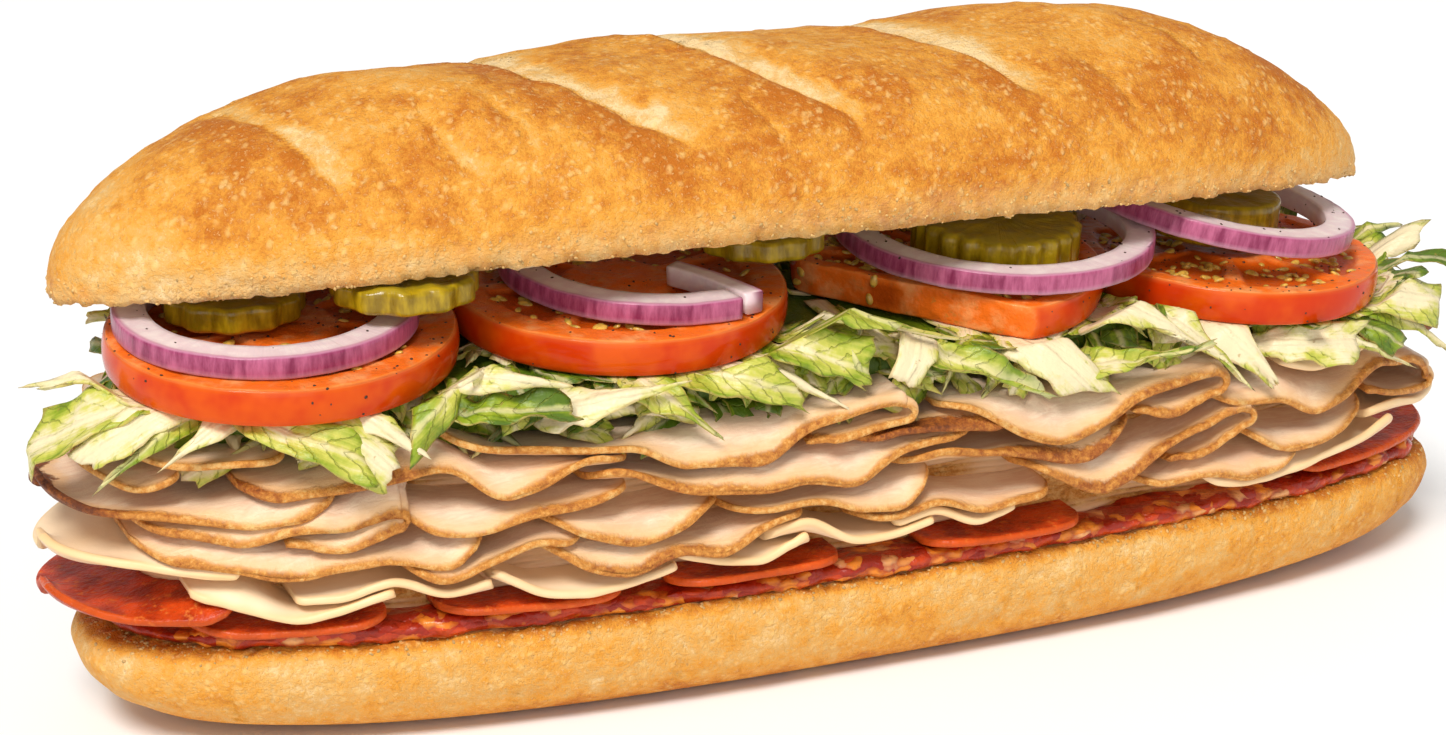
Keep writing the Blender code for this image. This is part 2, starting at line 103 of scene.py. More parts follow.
class Grain:
    """Smooth noise in three dimensions, the same each run."""

    SIZE = 4096

    def __init__(self, seed: int) -> None:
        """Fill the table of lattice values from a seed."""
        self.table = np.random.default_rng(seed).uniform(-1.0, 1.0, self.SIZE)

    def at(self, points: Array, size: float | Sequence[float]) -> Array:
        """Return noise from -1 to 1.

        Args:
            points: places in millimetres, with x, y and z last.
            size: distance between lattice points, or one for each direction.

        Returns:
            One value for each place.
        """
        scaled = points / np.asarray(size, float)
        base = np.floor(scaled).astype(np.int64)
        part = scaled - base
        part = part * part * (3.0 - 2.0 * part)
        total = np.zeros(points.shape[:-1])
        for corner in itertools.product((0, 1), repeat=3):
            cell = base + np.array(corner)
            mixed = (cell[..., 0] * 73856093) ^ (cell[..., 1] * 19349663) ^ (cell[..., 2] * 83492791)
            weight = np.prod(np.where(corner, part, 1.0 - part), axis=-1)
            total += self.table[(mixed ^ (mixed >> 13)) % self.SIZE] * weight
        return total

    def layered(self, points: Array, size: float, layers: int = 3) -> Array:
        """Return noise whose layers halve in size and height.

        Args:
            points: places in millimetres.
            size: lattice size of the coarsest layer.
            layers: how many layers are added.

        Returns:
            One value for each place.
        """
        return sum(self.at(points + 37.0 * k, size / 2 ** k) / 2 ** k for k in range(layers))


def put(name: str, data: bpy.types.ID) -> Piece:
    """Put a new object in the scene.

    Args:
        name: name of the object.
        data: its mesh, lamp or camera.

    Returns:
        The object.
    """
    made = bpy.data.objects.new(name, data)
    bpy.context.scene.collection.objects.link(made)
    return made


def new_object(name: str, points: Array, faces: list, marks: dict[str, Array] | None = None,
               smooth: bool = True) -> Piece:
    """Make an object from points in millimetres.

    Args:
        name: name of the piece.
        points: its vertices, one row each.
        faces: lists of vertex numbers.
        marks: values for each vertex, by name, that its finish reads.
        smooth: whether its faces are shaded smooth.

    Returns:
        The object, at the origin.
    """
    mesh = bpy.data.meshes.new(name)
    mesh.from_pydata(((points + SHIFT) * MM).tolist(), [], faces)
    for key, values in (marks or {}).items():
        data = mesh.attributes.new(key, "FLOAT", "POINT").data
        data.foreach_set("value", np.ravel(values).astype(np.float32))
    if smooth:
        mesh.shade_smooth()
    return put(name, mesh)


def grid_faces(rows: int, columns: int, first: int = 0, flipped: bool = False, closed: bool = False) -> list:
    """Return the four-sided faces of a grid of vertices.

    Args:
        rows: vertices along the first direction.
        columns: vertices along the second direction.
        first: number of the grid's first vertex.
        flipped: whether the faces look the other way.
        closed: whether the second direction runs round.

    Returns:
        Lists of four vertex numbers.
    """
    i, j = np.meshgrid(np.arange(rows - 1), np.arange(columns if closed else columns - 1), indexing="ij")
    n = (j + 1) % columns
    corners = [i * columns + j, (i + 1) * columns + j, (i + 1) * columns + n, i * columns + n]
    faces = np.stack([c.ravel() + first for c in corners], axis=1)
    return (faces[:, ::-1] if flipped else faces).tolist()


class Layout:
    """Joins several shapes into one piece."""

    def __init__(self) -> None:
        """Start with nothing."""
        self.points: list[Array] = []
        self.faces: list = []
        self.marks: dict[str, list[Array]] = {}
        self.count = 0

    def add(self, points: Array, faces: list, marks: dict[str, Array]) -> None:
        """Add a shape.

        Args:
            points: its vertices in millimetres.
            faces: its faces, counted from its own first vertex.
            marks: values for each vertex, under the same names for every shape.
        """
        self.points.append(points)
        self.faces += [[k + self.count for k in face] for face in faces]
        for key, values in marks.items():
            self.marks.setdefault(key, []).append(np.ravel(values))
        self.count += len(points)

    def build(self, name: str) -> Piece:
        """Return all shapes as one object of this name."""
        marks = {key: np.concatenate(values) for key, values in self.marks.items()}
        return new_object(name, np.concatenate(self.points), self.faces, marks)


@dataclass
class Sheet:
    """A soft sheet given by its middle surface.

    middle holds points in rows and columns, marks holds values for each of them.
    """

    middle: Array
    thickness: float
    marks: dict[str, Array] = field(default_factory=dict)
    thinnest: float = 0.05

    def normals(self) -> Array:
        """Return the direction square to the sheet at each point.

        Returns:
            One direction for each point of the middle surface.
        """
        along = np.gradient(self.middle, axis=0)
        across = np.gradient(self.middle, axis=1)
        return unit(np.cross(along, across))

    def margin(self) -> Array:
        """Return how far each point is from the sheet's outline, along the sheet.

        Returns:
            One distance for each point of the middle surface.
        """
        nearest = np.full(self.middle.shape[:2], 1e9)
        for axis in (0, 1):
            steps = np.linalg.norm(np.diff(self.middle, axis=axis), axis=-1)
            shape = list(steps.shape)
            shape[axis] = 1
            run = np.concatenate([np.zeros(shape), np.cumsum(steps, axis=axis)], axis=axis)
            total = np.take(run, [-1], axis=axis)
            nearest = np.minimum(nearest, np.minimum(run, total - run))
        return nearest

    def skins(self) -> tuple[Array, Array]:
        """Return the two faces of the sheet, which meet in a rounded rim.

        Returns:
            The points of the upper and of the lower face.
        """
        radius = self.thickness / 2
        inset = np.clip(1.0 - self.margin() / radius, 0.0, 1.0)
        half = np.maximum(radius * np.sqrt(1.0 - inset ** 2), self.thinnest)[..., None]
        return self.middle + self.normals() * half, self.middle - self.normals() * half

    def shape(self) -> tuple[Array, list, dict[str, Array]]:
        """Return the closed sheet as vertices, faces and marks.

        Returns:
            Its vertices, its faces and the marks of its vertices.
        """
        rows, columns = self.middle.shape[:2]
        upper, lower = self.skins()
        points = np.concatenate([upper.reshape(-1, 3), lower.reshape(-1, 3)])
        below = rows * columns
        faces = grid_faces(rows, columns) + grid_faces(rows, columns, below, flipped=True)
        border = [i * columns for i in range(rows)]
        border += [(rows - 1) * columns + j for j in range(1, columns)]
        border += [i * columns + columns - 1 for i in reversed(range(rows - 1))]
        border += list(reversed(range(1, columns - 1)))
        for here, there in zip(border, border[1:] + border[:1]):
            faces.append([there, here, here + below, there + below])
        marks = dict(self.marks, margin=self.margin())
        return points, faces, {key: np.tile(np.ravel(values), 2) for key, values in marks.items()}

    def build(self, name: str) -> Piece:
        """Return the sheet as an object of this name."""
        points, faces, marks = self.shape()
        return new_object(name, points, faces, marks)


# ---- Shader trees ----


class Wire:
    """A shader output whose arithmetic adds Math nodes."""

    def __init__(self, tree: Paint, socket: bpy.types.NodeSocket) -> None:
        """Wrap one output of a tree."""
        self.tree = tree
        self.socket = socket

    def _math(self, operation: str, first: Wire | float, second: Wire | float) -> Wire:
        """Return the result of a Math node."""
        return self.tree.node("ShaderNodeMath", {"operation": operation}, {0: first, 1: second})

    def __add__(self, other: Wire | float) -> Wire:
        """Return the sum."""
        return self._math("ADD", self, other)

    def __radd__(self, other: float) -> Wire:
        """Return the sum."""
        return self._math("ADD", other, self)

    def __sub__(self, other: Wire | float) -> Wire:
        """Return the difference."""
        return self._math("SUBTRACT", self, other)

    def __rsub__(self, other: float) -> Wire:
        """Return the difference."""
        return self._math("SUBTRACT", other, self)

    def __mul__(self, other: Wire | float) -> Wire:
        """Return the product."""
        return self._math("MULTIPLY", self, other)

    def __rmul__(self, other: float) -> Wire:
        """Return the product."""
        return self._math("MULTIPLY", other, self)

    def __truediv__(self, other: Wire | float) -> Wire:
        """Return the quotient."""
        return self._math("DIVIDE", self, other)

    def step(self, low: float, high: float) -> Wire:
        """Return a smooth step from 0 at low to 1 at high."""
        settings = {"interpolation_type": "SMOOTHSTEP", "clamp": True}
        return self.tree.node("ShaderNodeMapRange", settings, {0: self, 1: low, 2: high, 3: 0.0, 4: 1.0})


class Paint:
    """One material and the few kinds of nodes that the finishes use."""

    def __init__(self, name: str, **fixed: float) -> None:
        """Start a material.

        Args:
            name: its name.
            fixed: constants of the Principled shader, with _ for each space.
        """
        self.material = bpy.data.materials.new(name)
        self.material.use_nodes = True
        self.nodes = self.material.node_tree.nodes
        self.links = self.material.node_tree.links
        self.shader = self.nodes["Principled BSDF"]
        for key, value in fixed.items():
            self.shader.inputs[key.replace("_", " ")].default_value = value

    def node(self, kind: str, settings: dict, values: dict, output: int | str = 0) -> Wire:
        """Add a node.

        Args:
            kind: its type.
            settings: properties, set before its sockets; a ramp's stops are under "stops".
            values: numbers, colours or wires for its sockets, by number or name.
            output: which of its outputs is returned.

        Returns:
            The output.
        """
        made = self.nodes.new(kind)
        for key, value in settings.items():
            if key == "stops":
                self._set_stops(made.color_ramp, value)
            else:
                setattr(made, key, value)
        for key, value in values.items():
            if isinstance(value, Wire):
                self.links.new(value.socket, made.inputs[key])
            else:
                made.inputs[key].default_value = value
        return Wire(self, made.outputs[output])

    @staticmethod
    def _set_stops(ramp: bpy.types.ColorRamp, stops: Sequence[tuple[float, Colour]]) -> None:
        """Give a ramp its stops.

        Args:
            ramp: the ramp.
            stops: place and colour of each stop.
        """
        while len(ramp.elements) < len(stops):
            ramp.elements.new(1.0)
        for element, (place, colour) in zip(ramp.elements, stops):
            element.position = place
            element.color = (*colour, 1.0)

    def place(self) -> Wire:
        """Return the place on the piece, in metres."""
        return self.node("ShaderNodeTexCoord", {}, {}, "Object")

    def mark(self, name: str) -> Wire:
        """Return a mark of the piece's vertices."""
        return self.node("ShaderNodeAttribute", {"attribute_name": name}, {}, "Fac")

    def vector(self, x: Wire | float, y: Wire | float, z: Wire | float) -> Wire:
        """Return a vector made of three numbers."""
        return self.node("ShaderNodeCombineXYZ", {}, {0: x, 1: y, 2: z})

    def stretched(self, sizes: tuple[float, float, float]) -> Wire:
        """Return the place divided by a size in millimetres for each direction."""
        scale = tuple(1.0 / (size * MM) for size in sizes)
        return self.node("ShaderNodeVectorMath", {"operation": "MULTIPLY"}, {0: self.place(), 1: scale})

    def _spread(self, size: float, vector: Wire | None) -> dict:
        """Return where a texture is read and at what scale: in millimetres, or plainly on a vector."""
        return {"Vector": vector or self.place(), "Scale": 1.0 / size if vector else 1.0 / (size * MM)}

    def noise(self, size: float = 1.0, detail: float = 3.0, vector: Wire | None = None, rough: float = 0.5,
              twist: float = 0.0) -> Wire:
        """Return noise from 0 to 1.

        Args:
            size: size of its patches in millimetres, or a plain factor on vector where that is given.
            detail: how many finer layers it has.
            vector: where it is read; the place on the piece if left out.
            rough: strength of the finer layers.
            twist: how far it is distorted.

        Returns:
            The noise.
        """
        values = {"Detail": detail, "Roughness": rough, "Distortion": twist}
        return self.node("ShaderNodeTexNoise", {}, self._spread(size, vector) | values)

    def cells(self, size: float, output: str = "Distance", vector: Wire | None = None) -> Wire:
        """Return a Voronoi texture.

        Args:
            size: size of its cells in millimetres, or a plain factor on vector where that is given.
            output: which output is returned.
            vector: where it is read; the place on the piece if left out.

        Returns:
            The output.
        """
        return self.node("ShaderNodeTexVoronoi", {}, self._spread(size, vector), output)

    def mix(self, share: Wire | float, first: Wire | Colour, second: Wire | Colour) -> Wire:
        """Return two colours mixed.

        Args:
            share: how much of the second one is taken.
            first: colour at a share of 0.
            second: colour at a share of 1.

        Returns:
            The mixed colour.
        """
        picked = [value if isinstance(value, Wire) else (*value, 1.0) for value in (first, second)]
        values = {0: share, 6: picked[0], 7: picked[1]}
        return self.node("ShaderNodeMix", {"data_type": "RGBA"}, values, 2)

    def ramp(self, value: Wire, *stops: tuple[float, Colour]) -> Wire:
        """Return the colour at a value between stops."""
        return self.node("ShaderNodeValToRGB", {"stops": stops}, {0: value})

    def bump(self, height: Wire, depth: float) -> Wire:
        """Return normals bumped by a height from 0 to 1, this deep in millimetres."""
        return self.node("ShaderNodeBump", {}, {"Strength": 1.0, "Distance": depth * MM, "Height": height})

    def finish(self, **wires: Wire) -> Material:
        """Link wires to the shader, with _ for each space, and return the material.

        Args:
            wires: what each socket of the shader reads.

        Returns:
            The material.
        """
        for key, wire in wires.items():
            self.links.new(wire.socket, self.shader.inputs[key.replace("_", " ")])
        return self.material


@dataclass(frozen=True)
class Crust:
    """Baked skin of the roll; the mark bake runs from pale to dark and is darker at the torn rims as painted
    shade, crumb is 1 on the cut face.
    """

    pale: Colour = (0.90, 0.64, 0.32)
    tan: Colour = (0.76, 0.43, 0.125)
    gold: Colour = (0.79, 0.34, 0.038)
    deep: Colour = (0.52, 0.145, 0.006)
    crumb: Colour = (0.84, 0.68, 0.42)

    def material(self) -> Material:
        """Return the finish.

        Returns:
            The material.
        """
        paint = Paint("crust", Specular_IOR_Level=0.25)
        blotch = paint.noise(15.0, 2.0, rough=0.6, twist=0.4)
        mottle = paint.noise(3.6, 4.0, rough=0.72)
        bent = paint.node("ShaderNodeVectorMath", {"operation": "ADD"},
                          {0: paint.stretched((2.1, 2.1, 2.1)), 1: paint.noise(2.0, 1.0)})
        dots = 1.0 - paint.cells(1.0, "Distance", bent).step(0.10, 0.46)
        blister = dots * paint.noise(5.0, 1.0).step(0.38, 0.58)
        fleck = paint.noise(1.0, 3.0, rough=0.8)
        tone = paint.mark("bake") + (blotch - 0.5) * 0.9 + (mottle - 0.5) * 1.1 + (fleck - 0.5) * 0.9
        skin = paint.ramp(tone, (0.0, self.pale), (0.30, self.tan), (0.60, self.gold), (1.0, self.deep))
        skin = paint.mix(blister * 0.55, skin, (0.92, 0.58, 0.20))
        skin = paint.mix(fleck.step(0.56, 0.70) * 0.5, skin, (0.92, 0.62, 0.26))
        skin = paint.mix((1.0 - fleck.step(0.28, 0.38)) * 0.45, skin, (0.34, 0.11, 0.014))
        # Painted shade: the cut crumb is darker in its holes, where shade falls.
        hollow = paint.cells(2.2).step(0.25, 0.75)
        crumb = paint.mix(hollow, (0.70, 0.49, 0.25), self.crumb)
        colour = paint.mix(paint.mark("crumb"), skin, crumb)
        rise = fleck * 0.9 + mottle * 0.8 + blister * 0.22
        return paint.finish(Base_Color=colour, Roughness=0.46 + mottle * 0.28, Normal=paint.bump(rise, 0.75))


@dataclass(frozen=True)
class Turkey:
    """Moist sliced turkey; margin is the distance from the outline, sear is how browned the rim is there."""

    cream: Colour = (0.91, 0.71, 0.51)
    blush: Colour = (0.78, 0.52, 0.35)
    tan: Colour = (0.80, 0.46, 0.15)
    amber: Colour = (0.66, 0.27, 0.045)
    brown: Colour = (0.35, 0.095, 0.012)
    burnt: Colour = (0.13, 0.030, 0.007)

    def material(self) -> Material:
        """Return the finish.

        Returns:
            The material.
        """
        paint = Paint("turkey", Specular_IOR_Level=0.35)
        fibre = paint.noise(1.0, 4.0, paint.stretched((6.0, 1.6, 1.3)), 0.65, 0.8)
        cloud = paint.noise(11.0, 3.0, rough=0.5)
        meat = paint.mix((cloud * 0.7 + fibre * 0.75).step(0.52, 0.90), self.cream, self.blush)
        meat = paint.mix(paint.noise(1.1, 3.0).step(0.69, 0.78) * 0.25, meat, (0.62, 0.36, 0.22))
        sear = paint.mark("sear")
        ragged = paint.noise(2.0, 4.0, rough=0.7) - 0.5
        margin = paint.mark("margin") + ragged * (1.0 + sear * 3.0)
        band = 1.0 - (margin - sear * 3.2).step(0.25, 1.45)
        glow = 1.0 - (margin - sear * 4.2).step(0.6, 4.6)
        char = (paint.noise(2.0, 4.0, rough=0.8) - 0.5) * 1.8 + sear * 0.62 + 0.16
        skin = paint.ramp(char, (0.0, self.tan), (0.24, self.amber), (0.64, self.brown), (1.0, self.burnt))
        colour = paint.mix(glow * 0.7, meat, (0.80, 0.45, 0.17))
        colour = paint.mix(band, colour, skin)
        rise = fibre * 0.5 + paint.noise(0.7, 3.0, rough=0.7) * (0.25 + band * 1.2)
        return paint.finish(Base_Color=colour, Roughness=0.36 + band * 0.22, Normal=paint.bump(rise, 0.38))


@dataclass(frozen=True)
class Cheese:
    """Smooth pale cheese, yellower at its soft lip."""

    face: Colour = (0.95, 0.72, 0.47)
    lip: Colour = (0.86, 0.56, 0.24)

    def material(self) -> Material:
        """Return the finish.

        Returns:
            The material.
        """
        paint = Paint("cheese", Specular_IOR_Level=0.4)
        cloud = paint.noise(13.0, 2.0)
        lip = 1.0 - paint.mark("margin").step(0.5, 2.2)
        colour = paint.mix((cloud - 0.5) * 0.8 + lip * 0.65, self.face, self.lip)
        return paint.finish(Base_Color=colour, Roughness=0.34 + cloud * 0.2,
                            Normal=paint.bump(paint.noise(3.5, 3.0), 0.22))


@dataclass(frozen=True)
class Pepperoni:
    """Dark cured sausage with bits of fat and a lighter rim."""

    meat: Colour = (0.62, 0.060, 0.006)
    dark: Colour = (0.34, 0.024, 0.004)
    fat: Colour = (0.72, 0.20, 0.035)

    def material(self) -> Material:
        """Return the finish.

        Returns:
            The material.
        """
        paint = Paint("pepperoni", Coat_Weight=0.08, Coat_Roughness=0.12, Specular_IOR_Level=0.14)
        bits = paint.noise(1.6, 3.0, rough=0.6).step(0.56, 0.70)
        colour = paint.mix(paint.noise(5.0, 3.0).step(0.35, 0.65), self.meat, self.dark)
        colour = paint.mix(bits * 0.65, colour, self.fat)
        rim = 1.0 - (paint.mark("margin") + (paint.noise(2.0) - 0.5)).step(0.2, 1.0)
        colour = paint.mix(rim * 0.6, colour, (0.60, 0.10, 0.014))
        return paint.finish(Base_Color=colour, Roughness=0.28 + bits * 0.2,
                            Normal=paint.bump(paint.noise(1.2, 4.0), 0.45))


@dataclass(frozen=True)
class Relish:
    """Thick glossy relish of small chopped bits."""

    juice: Colour = (0.34, 0.018, 0.003)
    red: Colour = (0.60, 0.055, 0.005)
    orange: Colour = (0.80, 0.24, 0.02)
    pale: Colour = (0.78, 0.36, 0.13)

    def material(self) -> Material:
        """Return the finish.

        Returns:
            The material.
        """
        paint = Paint("relish", Coat_Weight=0.25, Coat_Roughness=0.06, Roughness=0.3, Specular_IOR_Level=0.25)
        bent = paint.node("ShaderNodeVectorMath", {"operation": "ADD"},
                          {0: paint.stretched((3.6, 3.6, 1.8)), 1: paint.noise(3.0, 2.0)})
        pick = paint.node("ShaderNodeSeparateColor", {}, {0: paint.cells(1.0, "Color", bent)}, 0)
        bits = paint.ramp(pick, (0.0, self.juice), (0.30, self.juice), (0.40, self.red), (0.62, self.red),
                          (0.70, self.orange), (0.90, self.orange), (0.95, self.pale))
        edge = paint.cells(1.0, "Distance", bent).step(0.25, 0.75)
        colour = paint.mix(edge * 0.75, bits, self.juice)
        rise = (1.0 - paint.cells(1.0, "Distance", bent)) + paint.noise(0.8, 2.0) * 0.3
        return paint.finish(Base_Color=colour, Normal=paint.bump(rise, 0.9))


@dataclass(frozen=True)
class Leaf:
    """Crisp lettuce; green runs from white rib to green leaf, along and across place the veins."""

    white: Colour = (0.80, 0.68, 0.42)
    lime: Colour = (0.55, 0.53, 0.085)
    green: Colour = (0.25, 0.33, 0.012)
    dark: Colour = (0.085, 0.15, 0.007)

    def material(self) -> Material:
        """Return the finish.

        Returns:
            The material.
        """
        paint = Paint("lettuce", Specular_IOR_Level=0.4)
        along, across = paint.mark("along"), paint.mark("across")
        cloud = paint.noise(4.0, 3.0, rough=0.6)
        fibre = paint.noise(1.0, 2.0, paint.vector(along * 0.10 + cloud * 0.8, across * 1.0, 0.0), 0.6)
        tone = paint.mark("green") + (cloud - 0.5) * 0.75 + (fibre - 0.5) * 0.55
        colour = paint.ramp(tone, (0.0, self.white), (0.22, self.white), (0.48, self.lime),
                            (0.76, self.green), (1.0, self.dark))
        wide = paint.node("ShaderNodeMath", {"operation": "ABSOLUTE"}, {0: across})
        course = (along - wide * 1.3 + cloud * 5.0) / 3.8
        wave = paint.node("ShaderNodeMath", {"operation": "PINGPONG"}, {0: course, 1: 0.5})
        veins = (1.0 - wave.step(0.015, 0.09)) * tone.step(0.20, 0.55)
        rib = 1.0 - (wide + (cloud - 0.5)).step(0.2, 0.9)
        colour = paint.mix(veins * 0.45, colour, (0.20, 0.24, 0.012))
        colour = paint.mix(rib * 0.45, colour, self.white)
        spots = paint.noise(1.6, 2.0).step(0.70, 0.78)
        colour = paint.mix(spots * 0.55, colour, (0.36, 0.20, 0.05))
        brown = 1.0 - (paint.mark("margin") + (cloud - 0.5) * 2.2).step(0.0, 0.35)
        colour = paint.mix(brown * 0.5, colour, (0.52, 0.33, 0.10))
        rise = (1.0 - veins) * 0.5 + rib * 0.5 + fibre * 0.5 + paint.noise(1.3, 3.0) * 0.6
        return paint.finish(Base_Color=colour, Roughness=0.30 + cloud * 0.2, Normal=paint.bump(rise, 0.42))


@dataclass(frozen=True)
class TomatoFlesh:
    """Tomato: skin is 1 on the side, jelly is 1 in the seed chambers."""

    skin: Colour = (0.57, 0.034, 0.001)
    flesh: Colour = (0.86, 0.155, 0.010)
    pink: Colour = (0.88, 0.32, 0.10)
    jelly: Colour = (0.56, 0.080, 0.003)

    def material(self) -> Material:
        """Return the finish.

        Returns:
            The material.
        """
        paint = Paint("tomato", Coat_Weight=0.06, Coat_Roughness=0.05, Specular_IOR_Level=0.16)
        cloud = paint.noise(6.0, 4.0, rough=0.6)
        flesh = paint.mix(cloud.step(0.45, 0.7), self.flesh, self.pink)
        flesh = paint.mix(paint.noise(1.8, 3.0, rough=0.7).step(0.58, 0.72) * 0.6, flesh, (0.50, 0.20, 0.03))
        flesh = paint.mix(paint.mark("jelly"), flesh, self.jelly)
        side = paint.mix(paint.noise(12.0, 3.0, rough=0.6).step(0.36, 0.66), self.skin, (0.68, 0.085, 0.002))
        colour = paint.mix(paint.mark("skin"), flesh, side)
        rim = paint.mark("rim")
        colour = paint.mix(rim * 0.55, colour, (0.86, 0.33, 0.08))
        wet = paint.noise(2.6, 4.0, rough=0.65)
        rise = wet * (1.0 - paint.mark("skin")) + paint.noise(9.0, 1.0) * 0.3
        rough = 0.30 - paint.mark("skin") * 0.12
        return paint.finish(Base_Color=colour, Roughness=rough, Normal=paint.bump(rise, 0.55))


@dataclass(frozen=True)
class RedOnion:
    """Red onion: skin is 1 on the purple outside; turn runs round the ring in millimetres."""

    purple: Colour = (0.20, 0.012, 0.062)
    light: Colour = (0.50, 0.12, 0.23)
    face: Colour = (0.80, 0.62, 0.63)

    def material(self) -> Material:
        """Return the finish.

        Returns:
            The material.
        """
        paint = Paint("onion", Coat_Weight=0.12, Coat_Roughness=0.12, Specular_IOR_Level=0.3)
        turn, rise = paint.mark("turn"), paint.mark("rise")
        streak = paint.noise(1.0, 4.0, paint.vector(turn * 0.55, rise * 0.12, 0.0), 0.65)
        wide = paint.noise(1.0, 2.0, paint.vector(turn * 0.09, rise * 0.05, 4.0), 0.5)
        side = paint.mix((streak * 0.75 + wide * 0.6).step(0.48, 0.86), self.purple, self.light)
        face = paint.mix(paint.noise(3.0, 3.0).step(0.4, 0.7), self.face, (0.86, 0.73, 0.70))
        face = paint.mix(paint.mark("lip") * 0.75, face, (0.46, 0.10, 0.24))
        side = paint.mix(paint.mark("foot") * 0.55, side, (0.66, 0.42, 0.52))
        colour = paint.mix(paint.mark("skin"), face, side)
        return paint.finish(Base_Color=colour, Roughness=0.24 + streak * 0.16,
                            Normal=paint.bump(streak, 0.25))


@dataclass(frozen=True)
class Gherkin:
    """Pickled cucumber: skin is 1 on the side."""

    skin: Colour = (0.22, 0.135, 0.001)
    light: Colour = (0.44, 0.29, 0.006)
    flesh: Colour = (0.34, 0.24, 0.010)

    def material(self) -> Material:
        """Return the finish.

        Returns:
            The material.
        """
        paint = Paint("pickle", Coat_Weight=0.2, Coat_Roughness=0.08, Specular_IOR_Level=0.3)
        turn, rise = paint.mark("turn"), paint.mark("rise")
        streak = paint.noise(1.0, 3.0, paint.vector(turn * 0.5, rise * 0.15, 0.0), 0.6)
        side = paint.mix(streak.step(0.35, 0.7), self.skin, self.light)
        flesh = paint.mix(paint.noise(3.0, 3.0).step(0.4, 0.7), self.flesh, self.light)
        colour = paint.mix(paint.mark("skin"), flesh, side)
        rise_map = streak * 0.6 + paint.noise(1.6, 3.0) * 0.5
        return paint.finish(Base_Color=colour, Roughness=0.22 + streak * 0.15,
                            Normal=paint.bump(rise_map, 0.4))


@dataclass(frozen=True)
class Bit:
    """One even colour, mottled, for small scattered things."""

    name: str
    colour: Colour
    roughness: float = 0.5
    coat: float = 0.0

    def material(self) -> Material:
        """Return the finish.

        Returns:
            The material.
        """
        paint = Paint(self.name, Roughness=self.roughness, Coat_Weight=self.coat, Coat_Roughness=0.1)
        darker = tuple(value * 0.6 for value in self.colour)
        colour = paint.mix(paint.noise(1.5, 2.0).step(0.35, 0.65), self.colour, darker)
        return paint.finish(Base_Color=colour, Normal=paint.bump(paint.noise(0.6, 2.0), 0.15))


def dress(piece: Piece, material: Material, slot: str, *nodes: str) -> Piece:
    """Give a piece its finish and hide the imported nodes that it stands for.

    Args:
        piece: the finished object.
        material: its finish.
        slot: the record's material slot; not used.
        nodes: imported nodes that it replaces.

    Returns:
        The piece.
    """
    piece.data.materials.clear()
    piece.data.materials.append(material)
    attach(piece, "root")
    for node in nodes:
        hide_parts(node)
    log.info("%s: %d faces", piece.name, len(piece.data.polygons))
    return piece


# ---- The roll ----


def outline(half_length: float, half_width: float, roundness: float, count: int) -> Array:
    """Return evenly spaced points of a long rounded outline.

    Args:
        half_length: half its size along X.
        half_width: half its size along Y.
        roundness: exponent of the superellipse.
        count: how many points.

    Returns:
        Rows of x and y, counterclockwise from +X.
    """
    angle = np.linspace(0.0, 2.0 * math.pi, 8001)
    c, s = np.cos(angle), np.sin(angle)
    plan = np.stack([half_length * np.sign(c) * np.abs(c) ** (2 / roundness),
                     half_width * np.sign(s) * np.abs(s) ** (2 / roundness)], axis=1)
    run = np.concatenate([[0.0], np.cumsum(np.linalg.norm(np.diff(plan, axis=0), axis=1))])
    wanted = np.linspace(0.0, run[-1], count, endpoint=False)
    return np.stack([np.interp(wanted, run, plan[:, k]) for k in (0, 1)], axis=1)


def closed_loft(rings: Array) -> tuple[Array, list]:
    """Return a solid through rings.

    Args:
        rings: rows of points that run counterclockwise, from the bottom up.

    Returns:
        Its vertices, the middles of both ends last, and its faces.
    """
    rows, columns = rings.shape[:2]
    points = rings.reshape(-1, 3)
    faces = grid_faces(rows, columns, flipped=True, closed=True)
    ends = np.stack([rings[0].mean(axis=0), rings[-1].mean(axis=0)])
    low, high = rows * columns, rows * columns + 1
    last = (rows - 1) * columns
    for k in range(columns):
        n = (k + 1) % columns
        faces.append([n, k, low])
        faces.append([last + k, last + n, high])
    return np.concatenate([points, ends]), faces


def ring_normals(rings: Array) -> Array:
    """Return the outward direction at each point of a loft.

    Args:
        rings: its points, as closed_loft takes them.

    Returns:
        One direction for each point.
    """
    along = np.gradient(rings, axis=0)
    around = np.roll(rings, -1, axis=1) - np.roll(rings, 1, axis=1)
    return unit(np.cross(around, along))


@dataclass
class Slash:
    """A score baked open: its line in plan from back to front, and how wide its pale bed is at both ends."""

    line: tuple[tuple[float, float], ...]
    widths: tuple[float, float]
    depth: float
    paleness: float = 1.0

    def offsets(self, plan: Array) -> tuple[Array, Array, Array]:
        """Return how places lie to the score.

        Args:
            plan: places, with x and y last.

        Returns:
            Each place's distance to the right of the line, the bed's width there, and a share that fades to 0
            at both ends of the line.
        """
        line = np.array(self.line)
        run = np.concatenate([[0.0], np.cumsum(np.linalg.norm(np.diff(line, axis=0), axis=1))])
        best = np.full(plan.shape[:-1], 1e9)
        side, share = np.zeros_like(best), np.zeros_like(best)
        for k in range(len(line) - 1):
            step = line[k + 1] - line[k]
            size = np.linalg.norm(step)
            part = np.clip(((plan - line[k]) @ step) / size ** 2, 0.0, 1.0)
            off = plan - (line[k] + part[..., None] * step)
            near = np.linalg.norm(off, axis=-1)
            closer = near < best
            cross = step[0] * off[..., 1] - step[1] * off[..., 0]
            best = np.where(closer, near, best)
            side = np.where(closer, np.where(cross > 0, near, -near), side)
            share = np.where(closer, (run[k] + part * size) / run[-1], share)
        width = self.widths[0] + (self.widths[1] - self.widths[0]) * share
        ends = ease(share, 0.0, 0.10) * ease(1.0 - share, 0.0, 0.16)
        return side, width, ends


